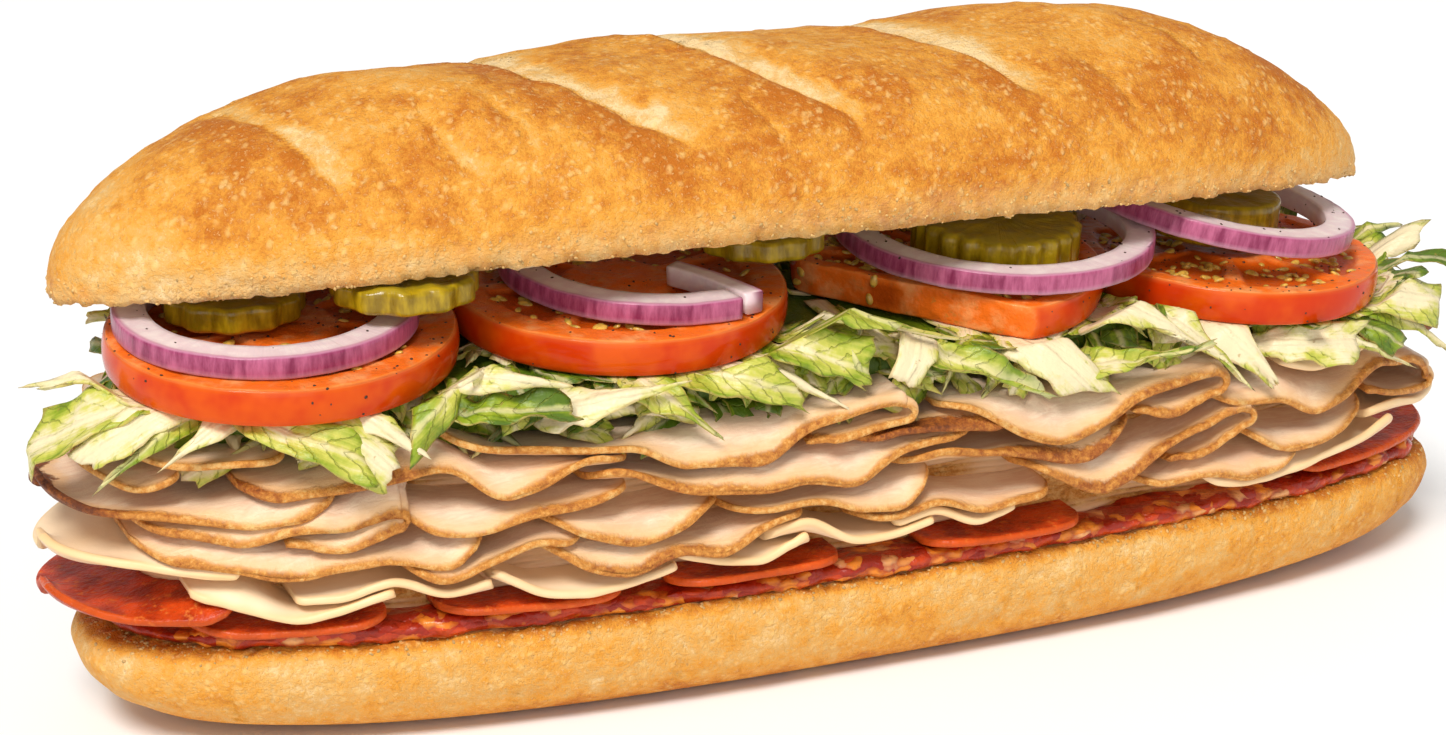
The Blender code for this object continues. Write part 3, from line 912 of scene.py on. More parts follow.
@dataclass
class Roll:
    """The two halves of the bread roll."""

    points_round: int = 620
    flank_steps: int = 72
    flank_rings: int = 62
    top_rings: int = 40
    heel_length: float = 148.4
    heel_width: float = 39.9
    heel_roundness: float = 2.6
    crown_centre: tuple[float, float] = (-9.7, 3.5)
    crown_length: float = 141.3
    crown_width: float = 42.0
    crown_roundness: float = 2.05
    crown_bow: float = 6.3
    crown_pitch: float = math.radians(-3.9)
    crown_roll: float = math.radians(-0.5)
    crown_rim: float = 83.6
    crown_peak: float = 121.4
    crown_hollow: float = 4.0
    middle_profile: tuple[float, float] = (2.2, 2.85)
    right_profile: tuple[float, float] = (3.4, 1.67)
    left_profile: tuple[float, float] = (4.3, 1.95)
    bulge: tuple[float, float] = (0.006, 0.03)
    swells: tuple = ((-92.6, 2.5), (-18.0, 1.7), (62.4, 3.3), (85.9, 4.2))
    swell_width: float = 15.0
    swell_slant: float = 0.9
    slashes: tuple[Slash, ...] = (
        Slash(((-75, 32), (-66, 12), (-62, 3), (-60, -6), (-54, -15.5), (-47, -24), (-39, -31), (-35.5, -36)),
              (9.0, 2.5), 1.5),
        Slash(((-36, 32), (-27, 12), (-23, -0.6), (-19, -11), (-11, -22), (-5, -30), (-1, -36)),
              (8.0, 2.5), 1.3),
        Slash(((8, 34), (17, 14), (21, 4), (25, -5), (31, -15), (36, -23), (40, -31)), (13.0, 4.0), 1.6),
        Slash(((-120, 12), (-114, 0), (-111, -8), (-107.6, -15), (-104.5, -22), (-102, -27)),
              (5.0, 2.5), 0.6, 0.7),
        Slash(((-86, -14), (-83, -21), (-80, -27), (-78, -31)), (0.8, 0.5), 0.5, 0.4),
        Slash(((-72, -17), (-69, -23), (-66, -29)), (0.8, 0.5), 0.4, 0.4),
        Slash(((-96, -20), (-93, -27), (-91, -32)), (0.5, 0.4), 0.4, 0.25),
        Slash(((-24, -22), (-20, -29), (-18, -34)), (0.5, 0.4), 0.4, 0.3),
        Slash(((54, -16), (58, -23), (61, -29)), (0.6, 0.4), 0.4, 0.3),
        Slash(((72, 2), (79, -9), (84, -18)), (0.8, 0.4), 0.5, 0.35),
    )
    grain: Grain = field(default_factory=lambda: Grain(3))

    def skin_relief(self, points: Array) -> Array:
        """Return the small bumps of the baked skin.

        Args:
            points: places on it.

        Returns:
            The height of the bumps at each place, in millimetres.
        """
        blister = np.maximum(self.grain.at(points, 3.4), 0.25) * 0.45
        blister += self.grain.layered(points, 8.0, 2) * 0.25
        pits = np.minimum(self.grain.at(points, 1.9) + 0.45, 0.0) * 0.45
        return blister + pits + self.grain.at(points, 26.0) * 0.5

    def heel(self) -> Piece:
        """Return the bottom half.

        Returns:
            The object, with the marks bake, crumb and torn.
        """
        height = float(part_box("bun_bottom")[1][2]) / MM
        section = [(0.0, 0.0), (0.50, 0.0), (0.64, 0.0), (0.74, 0.5), (0.86, 2.3), (0.94, 5.0), (0.985, 9.0),
                   (1.010, 12.5), (1.020, 16.5), (1.012, height - 2.2), (1.004, height - 0.7),
                   (0.985, height), (0.80, height), (0.4, height)]
        share, level = (np.array(column) for column in zip(*section))
        run = np.concatenate([[0.0], np.cumsum(np.hypot(np.diff(share) * 42.0, np.diff(level)))])
        wanted = np.concatenate([np.linspace(0.0, run[2], 6)[1:-1], np.linspace(run[2], run[-3], 46),
                                 np.linspace(run[-3], run[-1], 12)[1:]])
        share, level = np.interp(wanted, run, share), np.interp(wanted, run, level)
        for _ in range(2):
            share[1:-1] = (share[:-2] + 2 * share[1:-1] + share[2:]) / 4
            level[1:-1] = (level[:-2] + 2 * level[1:-1] + level[2:]) / 4
        level = np.maximum(level, 0.0)
        plan = outline(self.heel_length, self.heel_width, self.heel_roundness, self.points_round)
        rings = np.zeros((len(share), self.points_round, 3))
        rings[..., :2] = plan[None] * share[:, None, None] + LAID_HEEL[:2]
        rings[..., 2] = level[:, None]
        normals = ring_normals(rings)
        side = ease(level, 0.3, 3.0)[:, None] * ease(share, 0.86, 0.95)[:, None]
        relief = self.skin_relief(rings) * side
        crack = np.abs(self.grain.at(rings, (17.0, 17.0, 40.0)))
        relief -= ease(0.05 - crack, 0.0, 0.05) * 0.5 * side
        torn = np.repeat((ease(level, height - 3.0, height - 0.4) * ease(share, 0.9, 0.95))[:, None],
                         self.points_round, 1)
        relief += torn * self.grain.layered(rings, 2.4, 2) * 0.6
        inner = 1.0 - ease(share, 0.92, 0.97)
        rings += normals * np.clip(relief, -1.5, 0.6)[..., None] * (1.0 - inner)[:, None, None]
        bake = 0.46 + 0.38 * ease(9.0 - level, 0.0, 8.0) - 0.08 * ease(level, 14.0, 20.0)
        # The torn top edge is made darker: painted shade under the overhanging relish and slices.
        bake = bake[:, None] + 0.45 * torn + 0.14 * ease(rings[..., 0], 90.0, 150.0)
        bake = bake + self.grain.at(rings, 30.0) * 0.10
        crumb = np.repeat((inner * ease(level, height - 2.0, height - 0.2))[:, None], self.points_round, 1)
        points, faces = closed_loft(rings)
        marks = {"bake": np.append(bake, [0.8, 0.4]), "crumb": np.append(crumb, [0.0, 1.0]),
                 "torn": np.append(torn, [0.0, 0.0])}
        return new_object("bread_bottom", points, faces, marks)

    def rim_height(self, plan: Array) -> Array:
        """Return the height of the top half's cut edge.

        Args:
            plan: places, with x and y last.

        Returns:
            The height at each place.
        """
        along = (plan[..., 0] - self.crown_centre[0]) / self.crown_length
        bow = self.crown_bow * (1.0 - along * along)
        tilt = (plan[..., 1] - self.crown_centre[1]) * math.tan(self.crown_pitch)
        return self.crown_rim + bow + tilt + plan[..., 0] * math.tan(self.crown_roll)

    def dome(self, plan: Array, turn: float) -> Array:
        """Return one ring of the dome.

        Args:
            plan: the outline, about the crown's middle.
            turn: from 0 at the cut edge to a right angle at the top.

        Returns:
            The ring's points.
        """
        centre = np.array(self.crown_centre)
        endwise = np.abs(plan[:, 0] / self.crown_length) ** self.crown_roundness
        tips = np.where(plan[:, :1] > 0, np.array(self.right_profile), np.array(self.left_profile))
        curve, root = (mid + (tip - mid) * endwise for mid, tip in zip(self.middle_profile, tips.T))
        share = math.cos(turn) ** (2 / curve)
        rise = math.sin(turn) ** (2 / root) if turn > 0 else np.zeros(len(plan))
        stand = np.sin(math.pi * np.minimum(rise / 0.5, 1.0))
        edge = self.rim_height(centre + plan * share[:, None])
        where = centre + plan * share[:, None] * (1.0 + np.array(self.bulge) * stand[:, None])
        lift = np.zeros(len(plan))
        for place, height in self.swells:
            offset = (where[:, 0] - place - self.swell_slant * (centre[1] - where[:, 1])) / self.swell_width
            lift += height * np.exp(-offset * offset)
        return np.column_stack([where, edge + (self.crown_peak - edge) * rise + lift * rise ** 2])

    def crown(self) -> Piece:
        """Return the top half.

        Returns:
            The object, with the marks bake, crumb and torn.
        """
        centre = np.array(self.crown_centre)
        plan = outline(self.crown_length, self.crown_width, self.crown_roundness, self.points_round)
        rings, kinds = [], []
        for share in (0.25, 0.5, 0.68, 0.80, 0.88, 0.93, 0.96, 0.98, 0.99):
            where = centre + plan * share
            lift = self.crown_hollow * (1.0 - share ** 6) * float(ease(0.995 - share, 0.0, 0.05))
            rings.append(np.column_stack([where, self.rim_height(where) + lift]))
            kinds.append(1.0)
        turns = [math.pi / 2 * (k / self.flank_steps) ** 0.93 for k in range(self.flank_rings)]
        top = math.cos(turns[-1])
        turns += [math.acos(top * (k / self.top_rings) ** 2) for k in range(self.top_rings - 1, 0, -1)]
        for turn in turns:
            rings.append(self.dome(plan, turn))
            kinds.append(0.0)
        rings, kinds = np.array(rings), np.array(kinds)
        normals = ring_normals(rings)
        relief = self.skin_relief(rings)
        outside = ease(rings[..., 2], 97.0, 106.0) * (1.0 - kinds[:, None])
        scar, ledge = np.zeros_like(relief), np.zeros_like(relief)
        wobble = self.grain.layered(rings, 7.0, 2)
        for slash in self.slashes:
            side, width, ends = slash.offsets(rings[..., :2])
            side = side + wobble * 1.1
            feather = side + self.grain.layered(rings + 40.0, 3.2, 2) * 2.0 * ease(side, 1.0, 4.0)
            faded = 1.0 - ease(feather, width * 0.5, width * 1.3 + 1.5)
            bed = ease(side, -0.6, 0.5) * faded * ends * outside
            lip = ease(side, -16.0, -0.8) * (side < -0.2) * ends * outside * slash.paleness
            ledge = np.maximum(ledge, lip)
            dip = ease(side, -3.0, 0.4) * (1.0 - ease(side, 0.4, width + 7.0)) * ends * outside
            relief = relief - dip * slash.depth - np.exp(-(side / 0.8) ** 2) * 0.4 * ends * outside
            scar = np.maximum(scar, bed * slash.paleness)
        relief += scar * self.grain.layered(rings + 70.0, 2.6, 2) * 0.45
        inner = kinds[:, None] * np.ones_like(relief)
        relief = np.where(inner > 0, self.grain.layered(rings, 3.0, 3) * 0.5, relief)
        start = int(kinds.sum())
        torn = np.zeros_like(relief)
        for k in range(6):
            torn[start + k] = 1.0 - k / 6
        torn[start - 2:start] = 1.0
        relief += torn * self.grain.layered(rings + 11.0, 2.0, 2) * 0.65
        rings += normals * np.clip(relief, -3.0, 0.9)[..., None]
        height = rings[..., 2]
        flank = ease(104.0 - height, 0.0, 16.0)
        patches = self.grain.at(rings, 30.0) * 0.5 + self.grain.at(rings, 13.0) * 0.35
        bake = 0.74 + 0.28 * patches - 0.36 * flank - 0.64 * scar + 0.24 * ledge
        bake += 0.36 * ease(rings[..., 0], 60.0, 125.0) * ease(height, 96.0, 110.0)
        left_tip = 0.20 * ease(-rings[..., 0], 124.0, 143.0) * ease(height, 86.0, 96.0)
        bake -= left_tip * ease(113.0 - height, 0.0, 8.0)
        # The torn rim is made a little darker: painted shade on the underside edge of the top half.
        bake += 0.10 * torn
        points, faces = closed_loft(rings)
        marks = {"bake": np.append(bake, [0.4, 0.6]),
                 "crumb": np.append(np.maximum(inner, torn * 0.25), [1.0, 0.0]),
                 "torn": np.append(torn, [0.0, 0.0])}
        return new_object("bread_top", points, faces, marks)

    def build(self) -> list[Piece]:
        """Make and dress both halves.

        Returns:
            The bottom half and the top half.
        """
        skin = Crust().material()
        heel, crown = self.heel(), self.crown()
        return [dress(heel, skin, "crust", "bun_bottom"), dress(crown, skin, "crust", "bun_top")]


@dataclass
class RelishBed:
    """The relish on the bottom half, pressed out unevenly along its edge."""

    height: float = 21.9
    half_length: float = 147.6
    half_width: float = 39.8
    grain: Grain = field(default_factory=lambda: Grain(8))

    def build(self) -> Piece:
        """Make and dress the relish.

        Returns:
            The piece.
        """
        plan = outline(self.half_length, self.half_width, 2.6, 560)
        rings = []
        for part, level in ((0.55, 0.0), (0.90, 0.0), (0.955, 0.0), (0.972, 0.2), (0.984, 0.7), (0.99, 1.3),
                             (0.992, 1.9), (0.988, 2.4), (0.978, 2.8), (0.96, 3.1), (0.935, 3.2), (0.90, 3.2),
                             (0.80, 3.2), (0.5, 3.2)):
            rings.append(np.column_stack([plan * part, np.full(len(plan), self.height + level)]))
        rings = np.array(rings)
        lumps = self.grain.layered(rings, 4.2, 3) * 0.95 + self.grain.at(rings, 24.0) * 0.6 + 0.35
        share = np.hypot(rings[..., 0] / self.half_length, rings[..., 1] / self.half_width)
        outer = ease(share, 0.80, 0.95)
        upper = ease(rings[..., 2], self.height, self.height + 0.8)
        rings += ring_normals(rings) * (lumps * upper * (0.4 + 0.6 * outer))[..., None]
        points, faces = closed_loft(rings)
        return dress(new_object("relish", points, faces), Relish().material(), "sauce", "sauce_layer")


# ---- The pile of slices ----


class Food(Enum):
    """The three kinds of slices."""

    PEPPERONI = ("pepperoni", 1.6, -1.6, 0.5)
    CHEESE = ("cheese", 1.7, -0.4, 0.25)
    TURKEY = ("turkey", 1.35, 0.5, 1.0)

    def __init__(self, title: str, thickness: float, proud: float, softness: float) -> None:
        """Keep what sets one kind apart.

        Args:
            title: name of the food.
            thickness: thickness of a slice in millimetres.
            proud: how far a slice stands out past the pile's outline.
            softness: how strongly a slice ripples, from 0 to 1.
        """
        self.title = title
        self.thickness = thickness
        self.proud = proud
        self.softness = softness


@dataclass
class Packed:
    """What a packed slice says of its main part and of its flap, which is empty where it has none.

    Each holds places along X and the heights there at the front, in the middle and at the back.
    """

    main: Array
    flap: Array

    @classmethod
    def read(cls, node: str) -> Packed:
        """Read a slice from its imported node.

        Args:
            node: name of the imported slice.

        Returns:
            Its places and heights.
        """
        corners = np.array([vertex.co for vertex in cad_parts[node].data.vertices], float) / MM - SHIFT
        corners = np.unique(np.round(corners, 2), axis=0)
        main: list[tuple] = []
        flap: list[tuple] = []
        for x in np.unique(np.round(corners[:, 0], 1)):
            here = corners[np.abs(corners[:, 0] - x) < 0.06]
            ys = np.unique(np.round(here[:, 1], 1))
            heights = [np.sort(here[np.abs(here[:, 1] - y) < 0.06][:, 2]) for y in ys]
            counts = {len(column) for column in heights}
            if len(ys) < 4 or counts not in ({2}, {4}):
                continue
            shown = (heights[0], heights[-2], heights[-1])
            if counts == {4}:
                flap.append((x, *(column[0] for column in shown)))
            main.append((x, *(column[-2] for column in shown)))
        return cls(np.array(main).T, np.array(flap).T if flap else np.zeros((4, 0)))


class Pile:
    """Height map of the filling so far."""

    step_x = 0.75
    step_y = 0.3
    reaches = (157.4, 149.4)
    half_width = 44.4
    roundness = 2.5

    def __init__(self, ground: float) -> None:
        """Start with the relish as the floor.

        Args:
            ground: height of the relish.
        """
        self.xs = np.arange(-162.0, 162.01, self.step_x)
        self.ys = np.arange(-49.5, 49.51, self.step_y)
        plan_x, plan_y = np.meshgrid(self.xs, self.ys, indexing="ij")
        inside = np.abs(plan_x / 146.0) ** 2.6 + np.abs(plan_y / 39.5) ** 2.6 < 1.0
        self.floor = np.where(inside, ground, 0.0)

    def half_length(self, x: Array, proud: float) -> Array:
        """Return half the length of the pile on the side of each place."""
        return np.where(x > 0, self.reaches[1], self.reaches[0]) + min(proud, 0.4)

    def reach(self, x: Array, proud: float = 0.0) -> Array:
        """Return half the width of the pile at places along X."""
        share = np.clip(np.abs(x) / self.half_length(x, proud), 0.0, 1.0)
        return (self.half_width + proud) * (1.0 - share ** self.roundness) ** (1 / self.roundness)

    def inset(self, x: Array, y: Array, proud: float) -> Array:
        """Return how far places are inside the pile's outline, in millimetres.

        Args:
            x: places along X.
            y: places along Y.
            proud: how far the slice stands out.

        Returns:
            One distance for each place.
        """
        a, b = self.half_length(x, proud), self.half_width + proud
        share = np.maximum(np.abs(x / a) ** self.roundness + np.abs(y / b) ** self.roundness, TINY)
        slope = np.hypot(self.roundness * np.abs(x) ** (self.roundness - 1) / a ** self.roundness,
                         self.roundness * np.abs(y) ** (self.roundness - 1) / b ** self.roundness)
        return np.clip((1.0 - share) / np.maximum(slope, 1e-4), 0.0, 60.0)

    def under(self, x: Array, y: Array) -> Array:
        """Return the height of the floor at places.

        Args:
            x: places along X.
            y: places along Y.

        Returns:
            One height for each place.
        """
        i = np.clip((x - self.xs[0]) / self.step_x, 0, len(self.xs) - 1.001)
        j = np.clip((y - self.ys[0]) / self.step_y, 0, len(self.ys) - 1.001)
        i0, j0 = i.astype(int), j.astype(int)
        di, dj = i - i0, j - j0
        low = self.floor[i0, j0] * (1 - dj) + self.floor[i0, j0 + 1] * dj
        high = self.floor[i0 + 1, j0] * (1 - dj) + self.floor[i0 + 1, j0 + 1] * dj
        return np.maximum(low * (1 - di) + high * di, 0.0)

    def cover(self, top: Array) -> None:
        """Record the upper face of a slice, whose rows run along Y.

        Args:
            top: points of the face.
        """
        order = np.argsort(top[:, 0, 0])
        rows = top[order]
        places = rows[:, 0, 0]
        first = np.searchsorted(self.xs, places[0])
        last = np.searchsorted(self.xs, places[-1], side="right")
        for i in range(first, last):
            k = int(np.clip(np.searchsorted(places, self.xs[i]) - 1, 0, len(places) - 2))
            gap = max(places[k + 1] - places[k], 1e-6)
            share = float(np.clip((self.xs[i] - places[k]) / gap, 0, 1))
            row = rows[k] * (1 - share) + rows[k + 1] * share
            heights = np.interp(self.ys, row[:, 1], row[:, 2], left=0.0, right=0.0)
            self.floor[i] = np.maximum(self.floor[i], heights)


@dataclass
class Scorch:
    """A browner stretch of a slice's rim: where along X, how wide and how strong."""

    x: float
    width: float
    amount: float


@dataclass
class SliceMaker:
    """Lays one slice on the pile."""

    food: Food
    number: int
    rank: int
    pile: Pile
    grain: Grain
    scorches: tuple[Scorch, ...] = ()
    sear: float = 0.12
    fold: float = 4.2

    # Distances from the front and back of a slice, and from its ends, at which its mesh has points.
    GAPS = (0.0, 0.10, 0.25, 0.45, 0.7, 1.0, 1.4, 1.9, 2.5, 3.2, 4.0, 5.0, 6.2, 7.6, 9.4, 11.6, 14.5,
            18.5, 24.0)
    ENDS = (*GAPS[:9], 3.3)
    # A slice that reaches past these places ends where the pile does.
    LEFT_TIP = -157.0
    RIGHT_TIP = 149.0
    # The sausage at the right end stands out further than the others.
    FURTHEST = "pepperoni_slice_06"
    FURTHEST_OUT = 1.8

    @property
    def corner(self) -> float:
        """Radius of its corners."""
        return 2.0 if self.food is Food.CHEESE else 7.0

    @property
    def node(self) -> str:
        """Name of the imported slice."""
        return f"{self.food.title}_slice_{self.number:02d}"

    @property
    def proud(self) -> float:
        """How far it stands out past the pile's outline."""
        further = self.FURTHEST_OUT if self.node == self.FURTHEST else 0.0
        return self.food.proud + self.rank * 0.045 + further

    def stops(self, start: float, end: float) -> Array:
        """Return places along X, close together near both ends.

        Args:
            start: the left end.
            end: the right end.

        Returns:
            The places, from left to right.
        """
        ends = np.array(self.ENDS)
        inner = np.arange(start + 4.3, end - 4.29, 1.05)
        return np.concatenate([start + ends, inner, (end - ends)[::-1]])

    def plan(self, xs: Array) -> Array:
        """Return the plan of the slice: x and y in rows along Y.

        Args:
            xs: places along X, one for each row.

        Returns:
            Rows and columns of x and y.
        """
        width = self.pile.reach(xs, self.proud)
        left, right = xs - xs[0], xs[-1] - xs
        cut = np.zeros_like(xs)
        for run, tip in ((left, xs[0] < -155.0), (right, xs[-1] > 149.0)):
            if not tip:
                near = np.clip(run / self.corner, 0.0, 1.0)
                cut += self.corner * (1.0 - np.sqrt(1.0 - (1.0 - near) ** 2))
        along = np.stack([xs, np.full_like(xs, self.rank * 7.0), np.zeros_like(xs)], axis=-1)
        wave = self.grain.at(along, 11.0) * 0.55 * self.food.softness + self.grain.at(along, 2.6) * 0.14
        front = -np.maximum(width - cut + wave, 0.3)
        back = np.maximum(width - cut - 0.8 + self.grain.at(along + 90.0, 11.0) * 0.55, 0.25)
        gaps = np.array(self.GAPS)
        total = (back - front)[:, None]
        shrink = np.minimum(1.0, total / 2 / 26.0)
        ahead = front[:, None] + gaps[None] * shrink
        behind = back[:, None] - gaps[None, ::-1] * shrink
        ys = np.concatenate([ahead, behind], axis=1)
        return np.stack([np.repeat(xs[:, None], ys.shape[1], 1), ys], axis=-1)

    @staticmethod
    def between(xs: Array, places: Array, heights: Array, width: int) -> Array:
        """Return heights interpolated along X and smoothed over a width in half millimetres.

        Args:
            xs: where the heights are wanted.
            places: where they are known.
            heights: the known heights.
            width: how many half millimetres are smoothed over.

        Returns:
            One height for each place wanted.
        """
        fine = np.arange(places[0] - 12.0, places[-1] + 12.0, 0.5)
        values = np.interp(fine, places, heights)
        window = np.hanning(width)
        pad = len(window) // 2
        values = np.convolve(np.pad(values, pad, mode="edge"), window / window.sum(), mode="valid")
        return np.interp(xs, fine, values)

    def drape(self, plan: Array, heights: Array, room: Array | float = 0.0) -> Array:
        """Return the slice's middle surface, resting on the pile.

        Args:
            plan: its plan, in rows along Y.
            heights: places along X and its packed heights at front, middle and back.
            room: free height kept below it.

        Returns:
            Rows and columns of points.
        """
        places, front, level, back = heights
        x, y = plan[..., 0], plan[..., 1]
        half = self.food.thickness / 2
        width = 7 if self.food is Food.CHEESE else 21
        sides = (self.between(x, places, side, width) for side in (front, back))
        edge = np.where(y < 0, *sides) + half
        flat = self.between(x, places, level, 21) + half
        inset = self.pile.inset(x, y, self.proud)
        fall = flat - edge
        length = np.maximum(np.abs(fall), 5.0) / 2.6
        z = edge + fall * (1.0 - np.exp(-inset / length))
        spot = np.stack([x, y, np.full_like(x, self.rank * 5.0)], axis=-1)
        hang = np.exp(-inset / 9.0)
        z = z + self.grain.at(spot, (13.0, 9.0, 1.0)) * 0.8 * (0.35 + 0.65 * hang) * self.food.softness
        z = z + self.grain.at(spot, (4.5, 6.0, 1.0)) * 0.22 * self.food.softness
        slope_x = np.gradient(z, axis=0) / np.maximum(np.abs(np.gradient(x, axis=0)), 1e-3)
        slope_y = np.gradient(z, axis=1) / np.maximum(np.abs(np.gradient(y, axis=1)), 1e-3)
        lean = np.minimum(np.sqrt(1.0 + slope_x ** 2 + slope_y ** 2), 2.6)
        need = self.pile.under(x, y) + half * lean + 0.12 + room
        z = np.maximum(z, need)
        for _ in range(6):
            smooth = z.copy()
            smooth[1:-1] = (z[:-2] + 2 * z[1:-1] + z[2:]) / 4
            z = np.maximum(smooth, need)
        return np.stack([x, y, z], axis=-1)

    def lay(self) -> Sheet:
        """Lay the slice on the pile and return its sheet.

        Returns:
            The sheet, with the mark sear.
        """
        packed = Packed.read(self.node)
        start, end = packed.main[0][[0, -1]]
        start = -self.pile.reaches[0] if start < self.LEFT_TIP else start
        end = self.pile.reaches[1] if end > self.RIGHT_TIP else end
        xs = self.stops(start, end)
        if packed.flap.size:
            middle = self.folded(xs, packed)
        else:
            middle = self.drape(self.plan(xs), packed.main)
            self.settle(middle)
        return Sheet(middle, self.food.thickness, {"sear": self.browning(middle)})

    def folded(self, xs: Array, packed: Packed) -> Array:
        """Return the middle surface of a slice whose right end is turned under.

        Args:
            xs: places along X.
            packed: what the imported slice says.

        Returns:
            Rows and columns of points: the flap, the bend and the main part.
        """
        plan = self.plan(xs)
        corner = np.searchsorted(xs, xs[-1] - self.corner)
        reach = self.pile.reach(xs[corner:], self.proud) / self.pile.reach(xs[corner], self.proud)
        plan[corner:, :, 1] = plan[corner, :, 1] * reach[:, None]
        turn = packed.flap[0][0]
        flap_plan = plan[xs >= turn - 2.0].copy()
        flap_plan[..., 1] *= 1.0 - 0.02 * (flap_plan[..., 0] < turn + 3.0)
        flap = self.drape(flap_plan, packed.flap)
        self.settle(flap)
        room = self.fold * ease(xs, turn - 4.0, turn + 6.0)[:, None]
        main = self.drape(plan, packed.main, room)
        self.settle(main)
        low, high = flap[-1], main[-1]
        bend = []
        for angle in np.linspace(-80.0, 80.0, 11):
            a = math.radians(angle)
            radius = (high[:, 2] - low[:, 2]) / 2
            row = (low + high) / 2
            row = row + np.stack([np.minimum(radius * 1.1, 4.5) * math.cos(a), np.zeros_like(radius),
                                  radius * math.sin(a)], axis=-1)
            bend.append(row)
        return np.concatenate([flap, np.array(bend), main[::-1]])

    def settle(self, middle: Array) -> None:
        """Record the upper face of a laid part.

        Args:
            middle: its middle surface.
        """
        upper, lower = Sheet(middle, self.food.thickness).skins()
        top = middle.copy()
        top[..., 2] = np.maximum(upper[..., 2], lower[..., 2])
        self.pile.cover(top)

    def browning(self, middle: Array) -> Array:
        """Return how browned the rim is at each point.

        Args:
            middle: the slice's middle surface.

        Returns:
            From 0 to 1.2 for each point.
        """
        along = middle * np.array([1.0, 0.2, 0.0]) + np.array([0.0, 0.0, self.rank * 9.0])
        patches = 0.30 * np.maximum(self.grain.at(along, 14.0), -0.5)
        total = self.sear + patches + 0.14 * self.grain.at(along, 5.0)
        for scorch in self.scorches:
            total = total + scorch.amount * np.exp(-((middle[..., 0] - scorch.x) / scorch.width) ** 2)
        return np.clip(total, 0.0, 1.2)


@dataclass
class Filling:
    """All slices, from the relish up to the lettuce."""

    ground: float = 24.6
    heart_size: tuple[float, float] = (136.0, 31.0)
    heart_top: float = 51.0
    grain: Grain = field(default_factory=lambda: Grain(21))
    scorched: dict = field(default_factory=lambda: {
        8: (Scorch(-128.0, 30.0, 0.05),),
        14: (Scorch(126.0, 10.0, 0.2),),
        17: (Scorch(-124.0, 5.0, 0.65), Scorch(-100.0, 8.0, 0.5)),
        16: (Scorch(-158.0, 9.0, 0.9), Scorch(-148.0, 14.0, 0.35)),
        13: (Scorch(-42.0, 16.0, 0.35),),
        10: (Scorch(36.0, 16.0, 0.45),),
        9: (Scorch(48.0, 14.0, 0.4),),
        22: (Scorch(140.0, 12.0, 0.45), Scorch(154.0, 6.0, 0.6)),
        3: (Scorch(-50.0, 14.0, 0.2),),
        19: (Scorch(-26.0, 10.0, 0.12),),
        15: (Scorch(4.0, 14.0, 0.9),),
    })

    def order(self) -> list[tuple[Food, int]]:
        """Return the slices from the lowest to the highest.

        Returns:
            Food and number of each slice.
        """
        rows = [(Food.PEPPERONI, n) for n in range(1, 7)] + [(Food.CHEESE, n) for n in range(1, 7)]
        rows += [(Food.TURKEY, 1)] + [(Food.CHEESE, n) for n in range(7, 10)]
        rows += [(Food.TURKEY, n) for n in range(2, 22)] + [(Food.CHEESE, 10), (Food.TURKEY, 22)]
        return rows

    def heart(self) -> Piece:
        """Return a body ridged like stacked meat edges, which closes the gaps between the slices.

        Returns:
            The object.
        """
        plan = outline(*self.heart_size, 2.6, 320) + HEAP_MIDDLE
        levels = np.arange(self.ground - 1.0, self.heart_top, 0.32)
        rings = np.zeros((len(levels), len(plan), 3))
        rings[..., :2] = plan
        rings[..., 2] = levels[:, None]
        leaf = (rings[..., 2] + self.grain.at(rings * [1, 1, 0], 30.0) * 1.2) / Food.TURKEY.thickness
        groove = np.abs(leaf % 1.0 - 0.5) * 2.0
        layer = np.stack([rings[..., 0], rings[..., 1], np.floor(leaf) * 9.0], -1)
        stand = self.grain.at(layer, 16.0) * 1.8 - ease(groove, 0.4, 1.0) * 0.7
        rings += ring_normals(rings) * stand[..., None]
        points, faces = closed_loft(rings)
        marks = {"margin": np.append(1.2 + stand, [5.0, 5.0]), "sear": np.zeros(len(points))}
        return new_object("turkey_heart", points, faces, marks)

    def build(self) -> None:
        """Make and dress every slice."""
        finishes = {Food.PEPPERONI: Pepperoni().material(), Food.CHEESE: Cheese().material(),
                    Food.TURKEY: Turkey().material()}
        dress(self.heart(), finishes[Food.TURKEY], "turkey")
        pile = Pile(self.ground)
        for rank, (food, number) in enumerate(self.order()):
            spots = self.scorched.get(number, ()) if food is Food.TURKEY else ()
            maker = SliceMaker(food, number, rank, pile, self.grain, spots)
            piece = maker.lay().build(f"{food.title}_{number:02d}")
            dress(piece, finishes[food], food.title, maker.node)


# ---- Salad ----


class Cut(Enum):
    """Outline of a shred of lettuce."""

    BLADE = "blade"
    SLAB = "slab"
    FAN = "fan"


